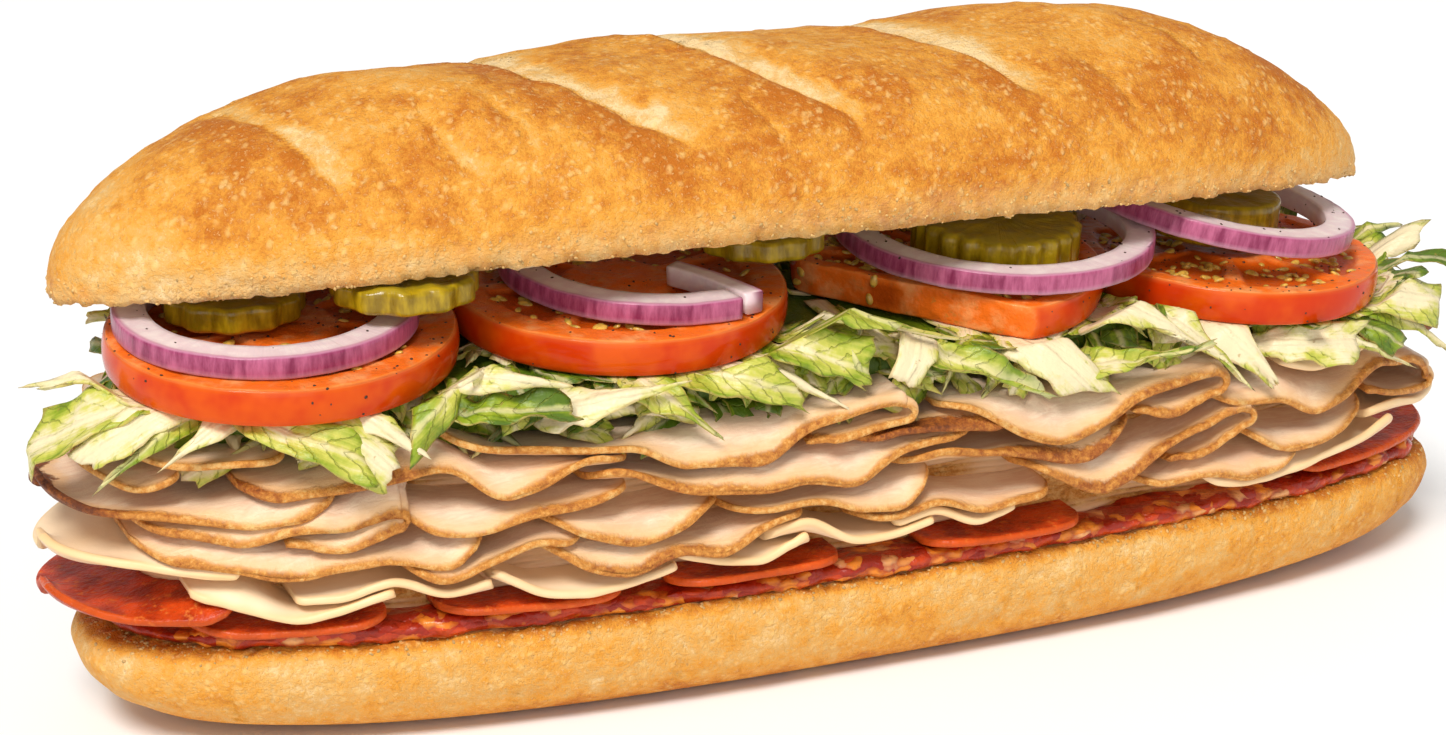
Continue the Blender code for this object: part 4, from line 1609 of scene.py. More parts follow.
@dataclass
class Shred:
    """A piece of lettuce from its root to its tip; green is 0 for white rib and 1 for green leaf."""

    root: tuple[float, float, float]
    tip: tuple[float, float, float]
    width: float
    cut: Cut
    green: float
    seed: int = 0
    pitch: tuple[float, float] = (0.95, 0.8)
    least: tuple[int, int] = (11, 7)

    FRONT_LIMIT = -46.6
    BACK_LIMIT = 46.0
    END_LIMIT = 159.5
    TUCK = 9.0

    def profile(self, along: Array) -> Array:
        """Return half the width at shares of the length.

        Args:
            along: shares of the length, from the root.

        Returns:
            One half width for each share.
        """
        if self.cut is Cut.BLADE:
            return self.width / 2 * (0.45 + 0.55 * np.sin(math.pi * np.minimum(along * 1.25, 1.0) ** 0.8)) \
                * (1.0 - 0.85 * along ** 3)
        if self.cut is Cut.FAN:
            return self.width / 2 * (0.35 + 0.65 * along ** 0.7)
        return self.width / 2 * (1.0 - 0.2 * along)

    def sheet(self, grain: Grain, discs: Sequence[Disc]) -> Sheet:
        """Return the piece as a sheet.

        Args:
            grain: noise for its ruffles.
            discs: the tomato slices, under which it is pressed.

        Returns:
            The sheet.
        """
        draw = np.random.default_rng(self.seed + 700)
        bend, tip = np.array(self.root, float), np.array(self.tip, float)
        inward = -np.array([bend[0] ** 3 / 150.0 ** 4, bend[1] ** 3 / 42.0 ** 4, 0.0])
        root = bend + inward / np.linalg.norm(inward) * self.TUCK - np.array([0.0, 0.0, 0.3 * self.TUCK])
        length = float(np.linalg.norm(tip - bend) + np.linalg.norm(bend - root))
        rows = max(self.least[0], int(length / self.pitch[0]))
        columns = max(self.least[1], int(self.width / self.pitch[1]) | 1)
        along = np.linspace(0.0, 1.0, rows)[:, None] + np.zeros((1, columns))
        across = np.linspace(-1.0, 1.0, columns)[None] + np.zeros((rows, 1))
        spot = np.stack([along * length, across * self.width / 2, np.full_like(along, self.seed * 5.3)], -1)
        edges = 1.0 + 0.22 * grain.at(spot * [1, 0, 1] + np.sign(across)[..., None] * [0, 40, 0], 3.2)
        half = self.profile(along) * edges
        skew = draw.uniform(-0.55, 0.55) * (1 - along) + draw.uniform(-0.7, 0.7) * along
        run = along * length + skew * across * self.width / 2
        run = run + grain.at(spot * [0, 1, 1], 1.7) * 1.1 * along ** 6
        share = (run / length)[..., None]
        heart = root * (1 - share) ** 2 + bend * 2 * share * (1 - share) + tip * share ** 2
        axis = unit((bend - root) * (1 - share) + (tip - bend) * share)
        outward = np.array([draw.uniform(-0.5, 0.5), -math.copysign(1.0, -bend[1] + 1e-6),
                            draw.uniform(0.3, 1.5)])
        outward = unit(outward - axis * (axis @ outward)[..., None])
        side = np.cross(outward, axis)
        leafy = 0.35 + 0.65 * min(self.green * 1.6, 1.0)
        fold = np.sin(run / draw.uniform(1.3, 2.2) + draw.uniform(0, 6) + across * draw.uniform(-1.2, 1.2))
        lift = fold * 0.6 * leafy * (0.25 + 0.75 * np.abs(across))
        lift += np.abs(across + draw.uniform(-0.4, 0.4)) * self.width * draw.uniform(-0.24, 0.24) * leafy
        lift += grain.at(spot, 4.2) * 0.9 * leafy + grain.at(spot, 1.9) * 0.35 * leafy
        middle = heart + side * (half * across)[..., None] + outward * lift[..., None]
        past = np.minimum(middle[..., 1] - self.FRONT_LIMIT, 0.0)
        middle[..., 1] = np.maximum(middle[..., 1], self.FRONT_LIMIT) + past * 0.1
        past = np.maximum(middle[..., 1] - self.BACK_LIMIT, 0.0)
        middle[..., 1] = np.minimum(middle[..., 1], self.BACK_LIMIT) + past * 0.1
        middle[..., 0] = np.clip(middle[..., 0], -self.END_LIMIT, self.END_LIMIT)
        for disc in discs:
            under = disc.underside(middle)
            beyond = np.hypot(middle[..., 0] - disc.x, middle[..., 1] - disc.y) - disc.radius
            slope = 0.7 if bend[1] < 10.0 else 1.6
            middle[..., 2] = np.minimum(middle[..., 2], under - 0.5 + slope * np.maximum(beyond, 0.0))
        green = self.green + 0.05 + 0.34 * (np.abs(across) - 0.5) + 0.22 * (along - 0.5)
        green = green + grain.at(spot, 6.0) * 0.22
        marks = {"green": green, "along": run + self.seed * 17.0, "across": half * across}
        return Sheet(middle, 0.95 - 0.5 * min(self.green * 1.6, 1.0), marks, 0.06)


@dataclass
class Lettuce:
    """The heap of shredded lettuce: shreds over a smaller core."""

    grain: Grain = field(default_factory=lambda: Grain(34))
    heap_size: tuple[float, float] = (147.0, 41.5)
    core_size: tuple[float, float] = (141.0, 36.0)
    all_round: int = 3
    back_only: int = 3
    front_rows_end: float = 12.0
    cover: int = 220
    loose_pitch: tuple[float, float] = (1.5, 1.5)
    loose_least: tuple[int, int] = (9, 5)

    def shown(self) -> list[Shred]:
        """Return the pieces that show at the front, chosen one by one.

        Returns:
            The pieces, from left to right.
        """
        blade, slab, fan = Cut.BLADE, Cut.SLAB, Cut.FAN
        rows = (
            ((-139, -24, 79), (-157, -6, 71), 12, blade, 0.20),
            ((-140, -26, 74), (-160, -9, 60), 13, fan, 0.28),
            ((-137, -29, 73), (-152, -22, 61), 9, slab, 0.10),
            ((-135, -31, 71), (-150, -25, 57), 6.5, blade, 0.55),
            ((-128, -35, 71), (-139, -33, 63), 7, blade, 0.05),
            ((-127, -37, 71), (-106, -43, 62), 9, fan, 0.45),
            ((-114, -39, 73), (-101, -45, 60), 13, slab, 0.30),
            ((-108, -40, 73), (-95, -45, 62), 11, blade, 0.08),
            ((-84, -42, 76), (-97, -44, 66), 10, fan, 0.62),
            ((-81, -43, 74), (-88, -44, 81), 7, blade, 0.08),
            ((-86, -43, 76), (-69, -46, 73), 8, blade, 0.25),
            ((-90, -44, 69), (-67, -46, 68), 8, fan, 0.80),
            ((-70, -44, 67), (-47, -46, 70), 10, blade, 0.18),
            ((-52, -44, 71), (-38, -47.5, 58), 11, blade, 0.50),
            ((-41, -45, 72), (-23, -47.5, 65), 12, slab, 0.48),
            ((-33, -44, 74), (-12, -48, 61), 6, blade, 0.12),
            ((-19, -40, 86), (-2, -45, 75), 14, fan, 0.62),
            ((-26, -44, 75), (-7, -46.5, 67), 12, fan, 0.48),
            ((-12, -44, 77), (-9, -47, 67), 9, blade, 0.60),
            ((6, -45, 73), (0, -47.5, 64), 9, slab, 0.08),
            ((-4, -43, 80), (11, -45, 73), 9, blade, 0.42),
            ((6, -45, 70), (31, -48, 57), 11, blade, 0.60),
            ((29, -45, 70), (41, -48, 57), 13, slab, 0.10),
            ((40, -46, 61), (69, -46, 62), 10, blade, 0.45),
            ((46, -44, 76), (66, -45, 63), 11, blade, 0.06),
            ((62, -43, 70), (78, -46, 53), 8, blade, 0.42),
            ((74, -42, 67), (86, -45, 52), 15, blade, 0.06),
            ((86, -42, 60), (108, -40, 57), 10, fan, 0.22),
            ((97, -41, 63), (122, -38, 50), 6.5, blade, 0.36),
            ((110, -38, 62), (121, -38, 54), 7, fan, 0.72),
            ((110, -36, 68), (135, -31, 60), 11, fan, 0.30),
            ((116, -35, 64), (138, -31, 49), 8, blade, 0.48),
        )
        return [Shred(*row, seed=k) for k, row in enumerate(rows)]

    def scattered(self) -> list[Shred]:
        """Return random pieces that fill the heap along both sides and both ends.

        Returns:
            The pieces, in the order in which they are drawn.
        """
        draw = np.random.default_rng(5)
        made = []
        plan = outline(*self.heap_size, 2.4, 120) + HEAP_MIDDLE
        heading = np.roll(plan, -1, axis=0) - np.roll(plan, 1, axis=0)
        heading /= np.linalg.norm(heading, axis=1, keepdims=True)
        for tier in range(self.all_round + self.back_only):
            for k in range(len(plan)):
                forward = plan[k, 1] < self.front_rows_end
                if tier >= self.all_round and forward:
                    continue
                level = 61.5 + 4.2 * tier + draw.uniform(-1.5, 1.5)
                level -= 5.0 * ease(plan[k, 0], 100.0, 150.0) * forward
                inward = plan[k] * (0.97 - 0.02 * tier)
                turn = draw.uniform(-1.0, 1.0)
                length = draw.uniform(9.0, 20.0)
                out = np.array([heading[k, 1], -heading[k, 0]])
                swing = heading[k] * math.sin(turn * 1.3) + out * math.cos(turn * 1.3) * 0.35
                root = (*(inward - out * 2.0), level + 2.0)
                tip = (*(inward - out * 1.0 + swing * length * 0.7), level - draw.uniform(0.0, 5.0))
                made.append(self.random_shred(draw, root, tip))
        for _ in range(self.cover):
            across = draw.uniform(-0.97, 0.80) if draw.random() < 0.7 else draw.uniform(0.66, 0.97)
            place = np.array([across * 143.0 - 3.5, draw.uniform(-0.84, 0.84) * 40.0])
            turn = draw.uniform(0.0, 2 * math.pi)
            reach = np.array([math.cos(turn), math.sin(turn)]) * draw.uniform(7.0, 15.0)
            level = 73.0 + draw.uniform(-1.0, 3.0) - 5.0 * float(ease(place[0], 60.0, 140.0))
            tip = (*(place + reach), level - draw.uniform(-1.0, 4.0))
            made.append(self.random_shred(draw, (*place, level), tip))
        return made

    def random_shred(self, draw: np.random.Generator, root: tuple[float, float, float],
                     tip: tuple[float, float, float]) -> Shred:
        """Return a piece of random size and colour.

        Args:
            draw: where its random numbers come from.
            root: where it leaves the heap.
            tip: where it ends.

        Returns:
            The piece.
        """
        cut = list(Cut)[int(draw.integers(len(Cut)))]
        green = float(draw.beta(1.6, 1.4))
        width, seed = draw.uniform(4.0, 9.0), int(draw.integers(100, 9999))
        return Shred(root, tip, width, cut, green, seed, self.loose_pitch, self.loose_least)

    def core(self, discs: Sequence[Disc]) -> Piece:
        """Return the heap's core, just inside the shreds and pressed down under the tomato slices; it is dark
        green all over as painted shade between the shreds.

        Args:
            discs: the tomato slices.

        Returns:
            The object.
        """
        plan = outline(*self.core_size, 2.4, 240) + HEAP_MIDDLE
        shares = (0.2, 0.5, 0.75, 0.9, 0.97, 1.0, 1.0, 0.98, 0.92, 0.8, 0.5, 0.2)
        lift = (0.0, 0.0, 0.0, 0.0, 0.5, 3.0, 6.0, 8.0, 9.5, 10.5, 11.0, 11.0)
        rings = []
        for share, up in zip(shares, lift):
            where = plan * share
            rings.append(np.column_stack([where, 59.0 + up - 4.0 * ease(where[:, 0], 100.0, 150.0)]))
        rings = np.array(rings)
        rings += ring_normals(rings) * (self.grain.layered(rings, 7.0, 3) * 1.2)[..., None]
        for disc in discs:
            beyond = np.hypot(rings[..., 0] - disc.x, rings[..., 1] - disc.y) - disc.radius
            limit = disc.underside(rings) - 1.5 + 0.5 * np.maximum(beyond, 0.0)
            rings[..., 2] = np.maximum(np.minimum(rings[..., 2], limit), 58.0)
        points, faces = closed_loft(rings)
        zero = np.zeros(len(points))
        # Its green lies past the darkest stop everywhere: painted shade, so that the core reads as leaves in
        # shadow.
        marks = {"green": 1.05 + 0.2 * self.grain.at(points, 6.0), "along": points[:, 0],
                 "across": zero + 5.0, "margin": zero + 5.0}
        return new_object("lettuce_core", points, faces, marks)

    def build(self) -> None:
        """Make and dress the core and the shreds."""
        finish = Leaf().material()
        discs = Tomatoes().discs
        dress(self.core(discs), finish, "lettuce", "lettuce")
        for name, shreds in (("lettuce_front", self.shown()), ("lettuce_shreds", self.scattered())):
            heap = Layout()
            for shred in shreds:
                heap.add(*shred.sheet(self.grain, discs).shape())
            dress(heap.build(name), finish, "lettuce", "lettuce")


@dataclass(frozen=True)
class Disc:
    """A round slice: middle of its upper face, radius, depth and its slope down to the front and to +X."""

    x: float
    y: float
    z: float
    radius: float
    depth: float
    front_dip: float = 0.0
    side_dip: float = 0.0

    def underside(self, points: Array) -> Array:
        """Return the height of its lower face at each place.

        Args:
            points: places; their heights are left aside.

        Returns:
            One height for each place.
        """
        away = points[..., :2] - np.array([self.x, self.y])
        slope = np.array([math.tan(math.radians(self.front_dip)), -math.tan(math.radians(self.side_dip))])
        return self.z - self.depth + away[..., 1] * slope[0] + away[..., 0] * slope[1]

    def seat(self, points: Array) -> Array:
        """Move points built about the upper middle to the disc's place."""
        turn = np.array(Euler((math.radians(self.front_dip), math.radians(self.side_dip), 0)).to_matrix())
        return points @ turn.T + np.array([self.x, self.y, self.z])


def turned(section: Array, count: int, radius: Callable[[Array], Array]) -> Array:
    """Return rings of a turned body.

    Args:
        section: rows of share of the radius and height, from the bottom up.
        count: points round it.
        radius: radius at each angle.

    Returns:
        Rings of points, one for each row of the section.
    """
    angle = np.linspace(0.0, 2 * math.pi, count, endpoint=False) + math.pi / 2
    reach = radius(angle)
    rings = np.zeros((len(section), count, 3))
    rings[..., 0] = section[:, :1] * reach * np.cos(angle)
    rings[..., 1] = section[:, :1] * reach * np.sin(angle)
    rings[..., 2] = section[:, 1:2]
    return rings


@dataclass
class Tomatoes:
    """The tomato slices."""

    discs: tuple[Disc, ...] = (
        Disc(-111.3, -9.5, 79.0, 33.5, 7.2, 4.8), Disc(-43.5, -8.0, 79.4, 34.0, 7.2, 4.8, 0.5),
        Disc(28.0, -9.5, 76.8, 32.5, 7.2, 5.0, 1.0), Disc(94.0, -9.5, 71.6, 33.0, 7.2, 3.0, 3.0))
    points_round: int = 260
    chord_share: float = 0.62
    chord_angle: float = math.radians(222)
    grain: Grain = field(default_factory=lambda: Grain(55))

    def slice(self, number: int, disc: Disc) -> Piece:
        """Return one slice.

        Args:
            number: which one, from 1.
            disc: where it lies.

        Returns:
            The object.
        """
        def reach(angle: Array) -> Array:
            """Return the radius at each angle, uneven and cut off on the third slice.

            Args:
                angle: angles round the slice.

            Returns:
                One radius for each angle.
            """
            spot = np.stack([np.cos(angle) * 20, np.sin(angle) * 20, np.full_like(angle, number * 13.0)], -1)
            base = disc.radius * (0.985 + 0.012 * self.grain.at(spot, 14.0))
            if number != 3:
                return base
            towards = np.cos(angle - self.chord_angle)
            limit = np.where(towards > 0.05, self.chord_share * disc.radius / np.maximum(towards, 0.05), 1e3)
            return -np.log(np.exp(-base / 1.2) + np.exp(-limit / 1.2)) * 1.2

        d = disc.depth
        low = [(0.3, -d), (0.7, -d), (0.9, -d), (0.965, -d + 0.05), (0.985, -d + 0.35)]
        side = [(0.993 + 0.012 * math.sin(math.pi * t), -d + 0.7 + (d - 1.2) * t)
                for t in np.linspace(0, 1, 9)]
        top = [(0.989, -0.25), (0.978, -0.06)] + [(share, 0.0) for share in np.linspace(0.965, 0.05, 38)]
        section = np.array(low + side + top)
        rings = turned(section, self.points_round, reach)
        share = np.repeat(section[:, :1], self.points_round, 1)
        angle = np.arctan2(rings[..., 1], rings[..., 0])
        upper = (np.arange(len(section)) > len(low) + len(side))[:, None] * np.ones_like(share)
        wall = 0.80 if number < 3 else 0.86
        septa = np.abs(np.sin(angle * 3.5 + number)) ** 0.6
        jelly = ease(wall - share, -0.01, 0.03) * ease(share, 0.30, 0.36) * ease(septa, 0.35, 0.6) * upper
        spot = rings + np.array([disc.x, disc.y, 0.0])
        rings[..., 2] += upper * (self.grain.layered(spot, 4.5, 3) * 0.22 - jelly * 0.7)
        skin = ease(share, 0.975, 0.988) * (1.0 - upper)
        if number == 3:
            cutoff = np.cos(angle - self.chord_angle) * share * disc.radius
            flat = ease(cutoff, self.chord_share * disc.radius * 0.90, self.chord_share * disc.radius * 0.985)
            rings[..., :2] -= (flat * (0.5 + 0.6 * self.grain.layered(spot, 4.0, 2)))[..., None] \
                * np.array([math.cos(self.chord_angle), math.sin(self.chord_angle)]) * 0.8
            skin = skin * (1.0 - flat)
            jelly = np.maximum(jelly, flat * ease(self.grain.at(spot, (9.0, 9.0, 30.0)), 0.0, 0.25)
                               * ease(-rings[..., 2], 0.8, 1.8) * ease(rings[..., 2] + d, 0.8, 1.8))
        rim = np.exp(-((share - 0.984) / 0.007) ** 2) * (section[:, 1:2] > -1.0)
        points, faces = closed_loft(rings)
        marks = {key: np.append(values, [0.0, 0.0]) for key, values in
                 (("skin", skin), ("jelly", jelly), ("rim", rim),
                  ("bed", jelly * (1.0 if number < 3 else 2.0)), ("spice", upper + 0.25 * skin))}
        return new_object(f"tomato_{number}", disc.seat(points), faces, marks)

    def build(self) -> list[Piece]:
        """Make and dress the slices.

        Returns:
            The slices.
        """
        finish = TomatoFlesh().material()
        made = []
        for number, disc in enumerate(self.discs, 1):
            made.append(dress(self.slice(number, disc), finish, "tomato", f"tomato_slice_{number}"))
        return made


@dataclass
class Onions:
    """The red onion rings, and the short piece of one."""

    discs: tuple[Disc, ...] = (
        Disc(-114.0, -9.5, 83.6, 28.5, 4.3, 4.8), Disc(-35.0, -6.5, 84.2, 31.0, 4.3, 4.8, 0.5),
        Disc(39.5, -8.0, 82.6, 33.0, 4.3, 5.0, 1.2), Disc(92.5, -6.0, 82.9, 31.0, 4.3, 5.0, 10.6))
    end: Disc = Disc(-80.0, -48.0, 81.2, 58.0, 4.3, 4.8, 0.5)
    wall: float = 6.6
    end_wall: float = 4.5
    open_angles: tuple[float, float] = (math.radians(40), math.radians(281))
    end_angles: tuple[float, float] = (math.radians(14), math.radians(36))
    grain: Grain = field(default_factory=lambda: Grain(89))

    def ring(self, name: str, disc: Disc, wall: float, first: float, last: float) -> Piece:
        """Return one ring, closed or as an arc.

        Args:
            name: name of the piece.
            disc: where it lies.
            wall: its width.
            first: angle where an arc starts.
            last: angle where it ends.

        Returns:
            The object.
        """
        closed = last - first > FULL_TURN
        count = int(disc.radius * (last - first) / 0.9)
        turn = np.linspace(first, last, count, endpoint=not closed)
        d, inner = disc.depth, disc.radius - wall
        corners = [(disc.radius - 0.35, 0.0), (disc.radius - 0.1, -0.3)]
        corners += [(disc.radius - 0.05 + 0.05 * math.sin(math.pi * t), -0.3 - (d - 0.6) * t) for t in
                    np.linspace(0.15, 0.85, 6)]
        corners += [(disc.radius - 0.1, -d + 0.3), (disc.radius - 0.4, -d + 0.03), (inner + wall / 2, -d),
                    (inner + 0.9, -d + 0.03), (inner + 0.6, -d + 0.3), (inner + 0.35, -d / 2),
                    (inner + 0.1, -0.3), (inner + 0.35, -0.02)]
        corners += [(inner + wall * t, 0.0) for t in (0.2, 0.35, 0.5, 0.65, 0.8, 0.9)]
        section = np.array(corners)
        spot = np.stack([np.cos(turn) * disc.radius + disc.x, np.sin(turn) * disc.radius, 0 * turn], -1)
        sway = self.grain.at(spot, 21.0) * 0.35
        across, rise = section[None, :, 0], np.repeat(section[None, :, 1], count, 0)
        radius = across + np.where(across < disc.radius - 0.5, sway[:, None], -np.abs(sway)[:, None])
        points = np.stack([radius * np.cos(turn)[:, None], radius * np.sin(turn)[:, None], rise], -1)
        spot = points + disc.x
        points[..., 2] += self.grain.at(spot, 5.0) * 0.10 + self.grain.at(spot, 1.6) * 0.05
        around = len(section)
        last_ring = (count - 1) * around
        faces = grid_faces(count, around, closed=True)
        if closed:
            faces += [[last_ring + k, k, (k + 1) % around, last_ring + (k + 1) % around]
                      for k in range(around)]
        else:
            faces += [list(range(around)), [last_ring + k for k in reversed(range(around))]]
        below = section[:, 1] < -0.1
        out = np.repeat(ease(across, disc.radius - 0.36, disc.radius - 0.2) * below, count, 0)
        lip = np.repeat(ease(across, disc.radius - 1.6, disc.radius - 0.5), count, 0)
        foot = np.repeat(ease(-section[None, :, 1], d - 1.2, d - 0.3), count, 0)
        marks = {"skin": out, "lip": lip, "foot": foot, "spice": 0.5 * (1.0 - out),
                 "turn": np.repeat((turn * disc.radius)[:, None], around, 1), "rise": rise}
        return new_object(name, disc.seat(points.reshape(-1, 3)), faces, marks)

    def build(self) -> list[Piece]:
        """Make and dress the rings and return them.

        Returns:
            The rings, without the short piece.
        """
        finish = RedOnion().material()
        full = (math.pi / 2, math.pi * 2.5)
        rings = []
        for number, disc in enumerate(self.discs, 1):
            span = self.open_angles if number == 2 else full
            ring = self.ring(f"onion_{number}", disc, self.wall, *span)
            rings.append(dress(ring, finish, "onion", f"onion_ring_{number}"))
        piece = self.ring("onion_piece", self.end, self.end_wall, *self.end_angles)
        dress(piece, finish, "onion", "onion_end")
        return rings


@dataclass
class Pickles:
    """The pickle slices."""

    discs: tuple[Disc, ...] = (
        Disc(-119.0, -5.0, 85.6, 13.5, 5.2, 2.0), Disc(-90.5, -20.5, 89.6, 14.0, 4.8, 1.0),
        Disc(-15.5, -14.0, 88.8, 12.8, 4.4, 1.0), Disc(36.5, -14.5, 85.2, 17.2, 8.2, 5.0, 1.0),
        Disc(92.5, -7.0, 83.2, 14.0, 9.0, 3.0, 4.0))
    points_round: int = 200
    ridges: int = 11
    grain: Grain = field(default_factory=lambda: Grain(144))

    def slice(self, number: int, disc: Disc) -> Piece:
        """Return one slice; the last one is smooth.

        Args:
            number: which one, from 1.
            disc: where it lies.

        Returns:
            The object.
        """
        depth = 0.0 if number == 5 else 0.5

        def reach(angle: Array) -> Array:
            """Return the crinkled radius at each angle."""
            waves = np.cos(self.ridges * (angle - math.pi / 2) * (2 if number == 4 else 1))
            return disc.radius - depth + depth * waves

        d = disc.depth
        low = [(0.4, -d), (0.8, -d), (0.94, -d + 0.1), (0.985, -d + 0.5)]
        side = [(1.0, -d + 0.9 + (d - 1.8) * t) for t in np.linspace(0, 1, 8)]
        top = [(0.985, -0.5), (0.95, -0.12)] + [(share, 0.0) for share in np.linspace(0.9, 0.06, 16)]
        section = np.array(low + side + top)
        rings = turned(section, self.points_round, reach)
        upper = (np.arange(len(section)) > len(low) + len(side))[:, None] * np.ones((1, self.points_round))
        spot = rings + np.array([disc.x, 0.0, 0.0])
        rings[..., 2] += upper * (self.grain.layered(spot, 3.5, 2) * 0.25)
        rings[..., 2] += 0.35 * np.sin(rings[..., 0] / 1.3) * (number == 2) * upper
        angle = np.arctan2(rings[..., 1], rings[..., 0])
        skin = ease(np.repeat(section[:, :1], self.points_round, 1), 0.95, 0.99)
        points, faces = closed_loft(rings)
        marks = {"skin": np.append(skin, [0, 0]), "turn": np.append(angle * disc.radius, [0, 0]),
                 "rise": np.append(rings[..., 2], [0, 0])}
        return new_object(f"pickle_{number}", disc.seat(points), faces, marks)

    def build(self) -> None:
        """Make and dress the slices."""
        finish = Gherkin().material()
        for number, disc in enumerate(self.discs, 1):
            dress(self.slice(number, disc), finish, "pickle", f"pickle_slice_{number}")


# ---- Small scattered things ----


@dataclass
class Sprinkle:
    """Small grains scattered over a piece by Geometry Nodes."""

    name: str
    bed: str
    per_cm2: float
    smallest: float
    largest: float
    shape: tuple[float, float, float]
    seed: int
    finish: Bit
    detail: int = 1

    def tree(self, material: Material) -> bpy.types.NodeTree:
        """Return the node tree that scatters the grains.

        Args:
            material: finish of the grains.

        Returns:
            The tree, with named inputs for its sizes.
        """
        tree = bpy.data.node_groups.new(self.name, "GeometryNodeTree")
        face = tree.interface
        face.new_socket("Surface", in_out="INPUT", socket_type="NodeSocketGeometry")
        for label in ("Grains per square metre", "Smallest", "Largest"):
            face.new_socket(label, in_out="INPUT", socket_type="NodeSocketFloat")
        face.new_socket("Seed", in_out="INPUT", socket_type="NodeSocketInt")
        face.new_socket("Grains", in_out="OUTPUT", socket_type="NodeSocketGeometry")
        nodes, links = tree.nodes, tree.links

        def add(kind: str, values: dict, **settings: object) -> bpy.types.Node:
            """Add a node with its settings and its sockets' values or links.

            Args:
                kind: its type.
                values: numbers, vectors or sockets for its inputs.
                settings: properties, set before its inputs.

            Returns:
                The node.
            """
            node = nodes.new(kind)
            for key, value in settings.items():
                setattr(node, key, value)
            for key, value in values.items():
                if isinstance(value, bpy.types.NodeSocket):
                    links.new(value, node.inputs[key])
                else:
                    node.inputs[key].default_value = value
            return node

        given = add("NodeGroupInput", {}).outputs
        bed = add("GeometryNodeInputNamedAttribute", {0: self.bed}, data_type="FLOAT")
        density = add("ShaderNodeMath", {0: given["Grains per square metre"], 1: bed.outputs[0]},
                      operation="MULTIPLY")
        points = add("GeometryNodeDistributePointsOnFaces",
                     {"Mesh": given["Surface"], "Density": density.outputs[0], "Seed": given["Seed"]})
        grain = add("GeometryNodeMeshIcoSphere", {"Radius": 0.5, "Subdivisions": self.detail})
        shaped = add("GeometryNodeTransform", {"Geometry": grain.outputs[0], "Scale": self.shape})
        size = add("FunctionNodeRandomValue", {"Min": given["Smallest"], "Max": given["Largest"],
                                               "Seed": given["Seed"]}, data_type="FLOAT")
        turn = add("FunctionNodeRandomValue", {"Min": (-0.5, -0.5, -3.1), "Max": (0.5, 0.5, 3.1),
                                               "Seed": given["Seed"]}, data_type="FLOAT_VECTOR")
        spun = add("FunctionNodeRotateRotation", {0: points.outputs["Rotation"]}, rotation_space="LOCAL")
        euler = add("FunctionNodeEulerToRotation", {0: turn.outputs[0]})
        links.new(euler.outputs[0], spun.inputs[1])
        placed = add("GeometryNodeInstanceOnPoints",
                     {"Points": points.outputs[0], "Instance": shaped.outputs[0],
                      "Rotation": spun.outputs[0], "Scale": size.outputs[1]})
        real = add("GeometryNodeRealizeInstances", {0: placed.outputs[0]})
        dressed = add("GeometryNodeSetMaterial", {"Geometry": real.outputs[0], "Material": material})
        add("NodeGroupOutput", {0: dressed.outputs[0]})
        return tree

    def build(self, surfaces: Sequence[Piece], slot: str) -> Piece:
        """Scatter the grains over surfaces and dress them as one piece.

        Args:
            surfaces: the pieces that they lie on.
            slot: the record's material slot.

        Returns:
            The piece.
        """
        material = self.finish.material()
        tree = self.tree(material)
        sizes = {"Grains per square metre": self.per_cm2 * 1e4, "Smallest": self.smallest * MM,
                 "Largest": self.largest * MM}
        heap = Layout()
        for k, surface in enumerate(surfaces):
            carrier = put(self.name, surface.data.copy())
            modifier = carrier.modifiers.new("scatter", "NODES")
            modifier.node_group = tree
            for item in tree.interface.items_tree:
                if item.name in sizes:
                    modifier[item.identifier] = float(sizes[item.name])
                if item.name == "Seed":
                    modifier[item.identifier] = self.seed + k
            bpy.context.view_layer.update()
            grown = carrier.evaluated_get(bpy.context.evaluated_depsgraph_get())
            made = bpy.data.meshes.new_from_object(grown)
            if made.vertices:
                points = np.zeros(len(made.vertices) * 3)
                made.vertices.foreach_get("co", points)
                faces = [list(face.vertices) for face in made.polygons]
                heap.add(points.reshape(-1, 3) / MM - SHIFT, faces, {})
            bpy.data.objects.remove(carrier)
        return dress(heap.build(self.name), material, slot)


# ---- Stage ----


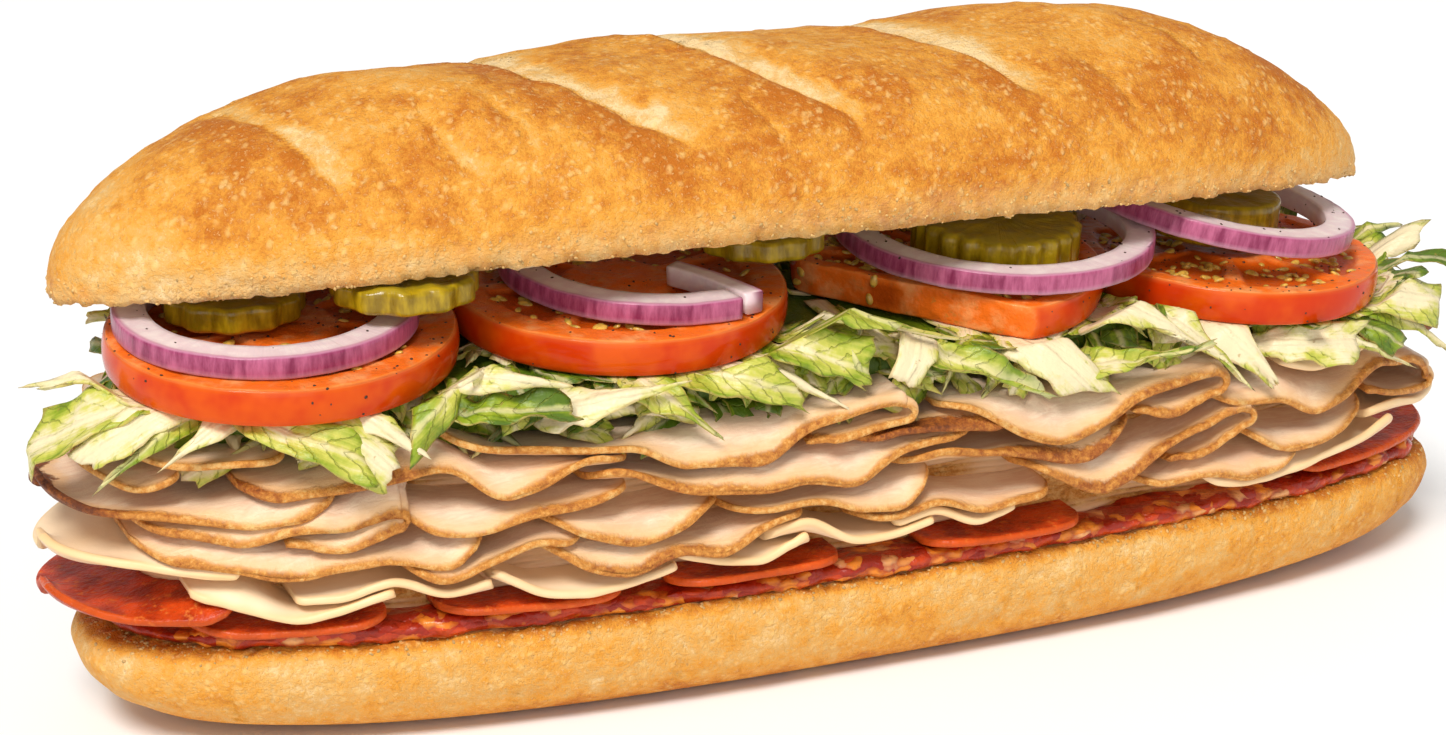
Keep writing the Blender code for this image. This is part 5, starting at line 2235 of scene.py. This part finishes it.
@dataclass
class Studio:
    """Floor, soft lights and camera."""

    azimuth: float = -23.0
    elevation: float = 18.0
    distance: float = 0.62
    target: tuple[float, float, float] = (-0.0177 + SHIFT[0] * MM, SHIFT[1] * MM, 0.0555)
    lens: float = 76.04

    def floor(self) -> None:
        """Lay a plain pale floor."""
        points = np.array([(-9000, -9000, 0), (9000, -9000, 0), (9000, 9000, 0), (-9000, 9000, 0)], float)
        floor = new_object("floor", points, [[0, 1, 2, 3]], smooth=False)
        paint = Paint("floor", Roughness=0.9, Specular_IOR_Level=0.1)
        paint.shader.inputs["Base Color"].default_value = (0.93, 0.93, 0.925, 1.0)
        floor.data.materials.append(paint.material)

    def light(self, name: str, place: tuple[float, float, float], size: float, power: float) -> None:
        """Hang one soft light that looks at the sandwich.

        Args:
            name: its name.
            place: where it hangs, in metres.
            size: length of its sides, in metres.
            power: its power in watts.
        """
        lamp = bpy.data.lights.new(name, "AREA")
        lamp.size = size
        lamp.energy = power
        made = put(name, lamp)
        made.location = place
        made.rotation_euler = (Vector(self.target) - Vector(place)).to_track_quat("-Z", "Y").to_euler()

    def camera(self) -> None:
        """Place the camera."""
        a, e = math.radians(self.azimuth), math.radians(self.elevation)
        back = Vector((math.sin(a) * math.cos(e), -math.cos(a) * math.cos(e), math.sin(e)))
        data = bpy.data.cameras.new("camera")
        data.lens = self.lens
        data.sensor_width = 36.0
        data.clip_start, data.clip_end = 0.01, 100.0
        made = put("camera", data)
        made.location = Vector(self.target) + back * self.distance
        made.rotation_euler = back.to_track_quat("Z", "Y").to_euler()
        bpy.context.scene.camera = made

    def sun(self, direction: tuple[float, float, float], strength: float, spread: float) -> None:
        """Add a soft even light from a direction.

        Args:
            direction: where it stands as seen from the sandwich.
            strength: its strength.
            spread: its angle in degrees.
        """
        lamp = bpy.data.lights.new("sun", "SUN")
        lamp.energy = strength
        lamp.angle = math.radians(spread)
        lamp.color = (1.0, 0.985, 0.96)
        made = put("sun", lamp)
        made.rotation_euler = Vector(direction).to_track_quat("Z", "Y").to_euler()

    def build(self) -> None:
        """Set the stage."""
        self.floor()
        self.camera()
        self.sun((-0.55, -0.66, 1.15), 2.8, 22.0)
        self.light("front", (-0.35, -1.0, 0.35), 0.7, 2.0)
        self.light("right", (0.80, -0.50, 0.35), 0.6, 0.5)
        world = bpy.data.worlds.new("world")
        world.use_nodes = True
        world.node_tree.nodes["Background"].inputs[0].default_value = (1.0, 1.0, 1.0, 1.0)
        world.node_tree.nodes["Background"].inputs[1].default_value = 0.42
        bpy.context.scene.world = world
        bpy.context.scene.view_settings.view_transform = "Standard"


def main() -> None:
    """Build every piece in order."""
    logging.basicConfig(level=logging.INFO, format="%(name)s %(message)s")
    Studio().build()
    bread = Roll().build()
    RelishBed().build()
    Filling().build()
    Lettuce().build()
    tomatoes = Tomatoes().build()
    onions = Onions().build()
    Pickles().build()
    Sprinkle("tomato_seeds", "bed", 5.0, 1.6, 2.6, (1.3, 0.8, 0.45), 11,
             Bit("tomato_seed", (0.80, 0.48, 0.07), 0.3, 0.4), 2).build(tomatoes, "tomato")
    Sprinkle("bread_crumbs", "torn", 30.0, 0.3, 0.95, (1.2, 0.8, 0.7), 23,
             Bit("crumb", (0.74, 0.46, 0.16), 0.7)).build(bread, "crust")
    Sprinkle("pepper", "spice", 6.0, 0.25, 0.75, (1.2, 0.9, 0.6), 37,
             Bit("pepper", (0.060, 0.022, 0.008), 0.6)).build(tomatoes + onions, "tomato")


if __name__ == "__main__":
    main()
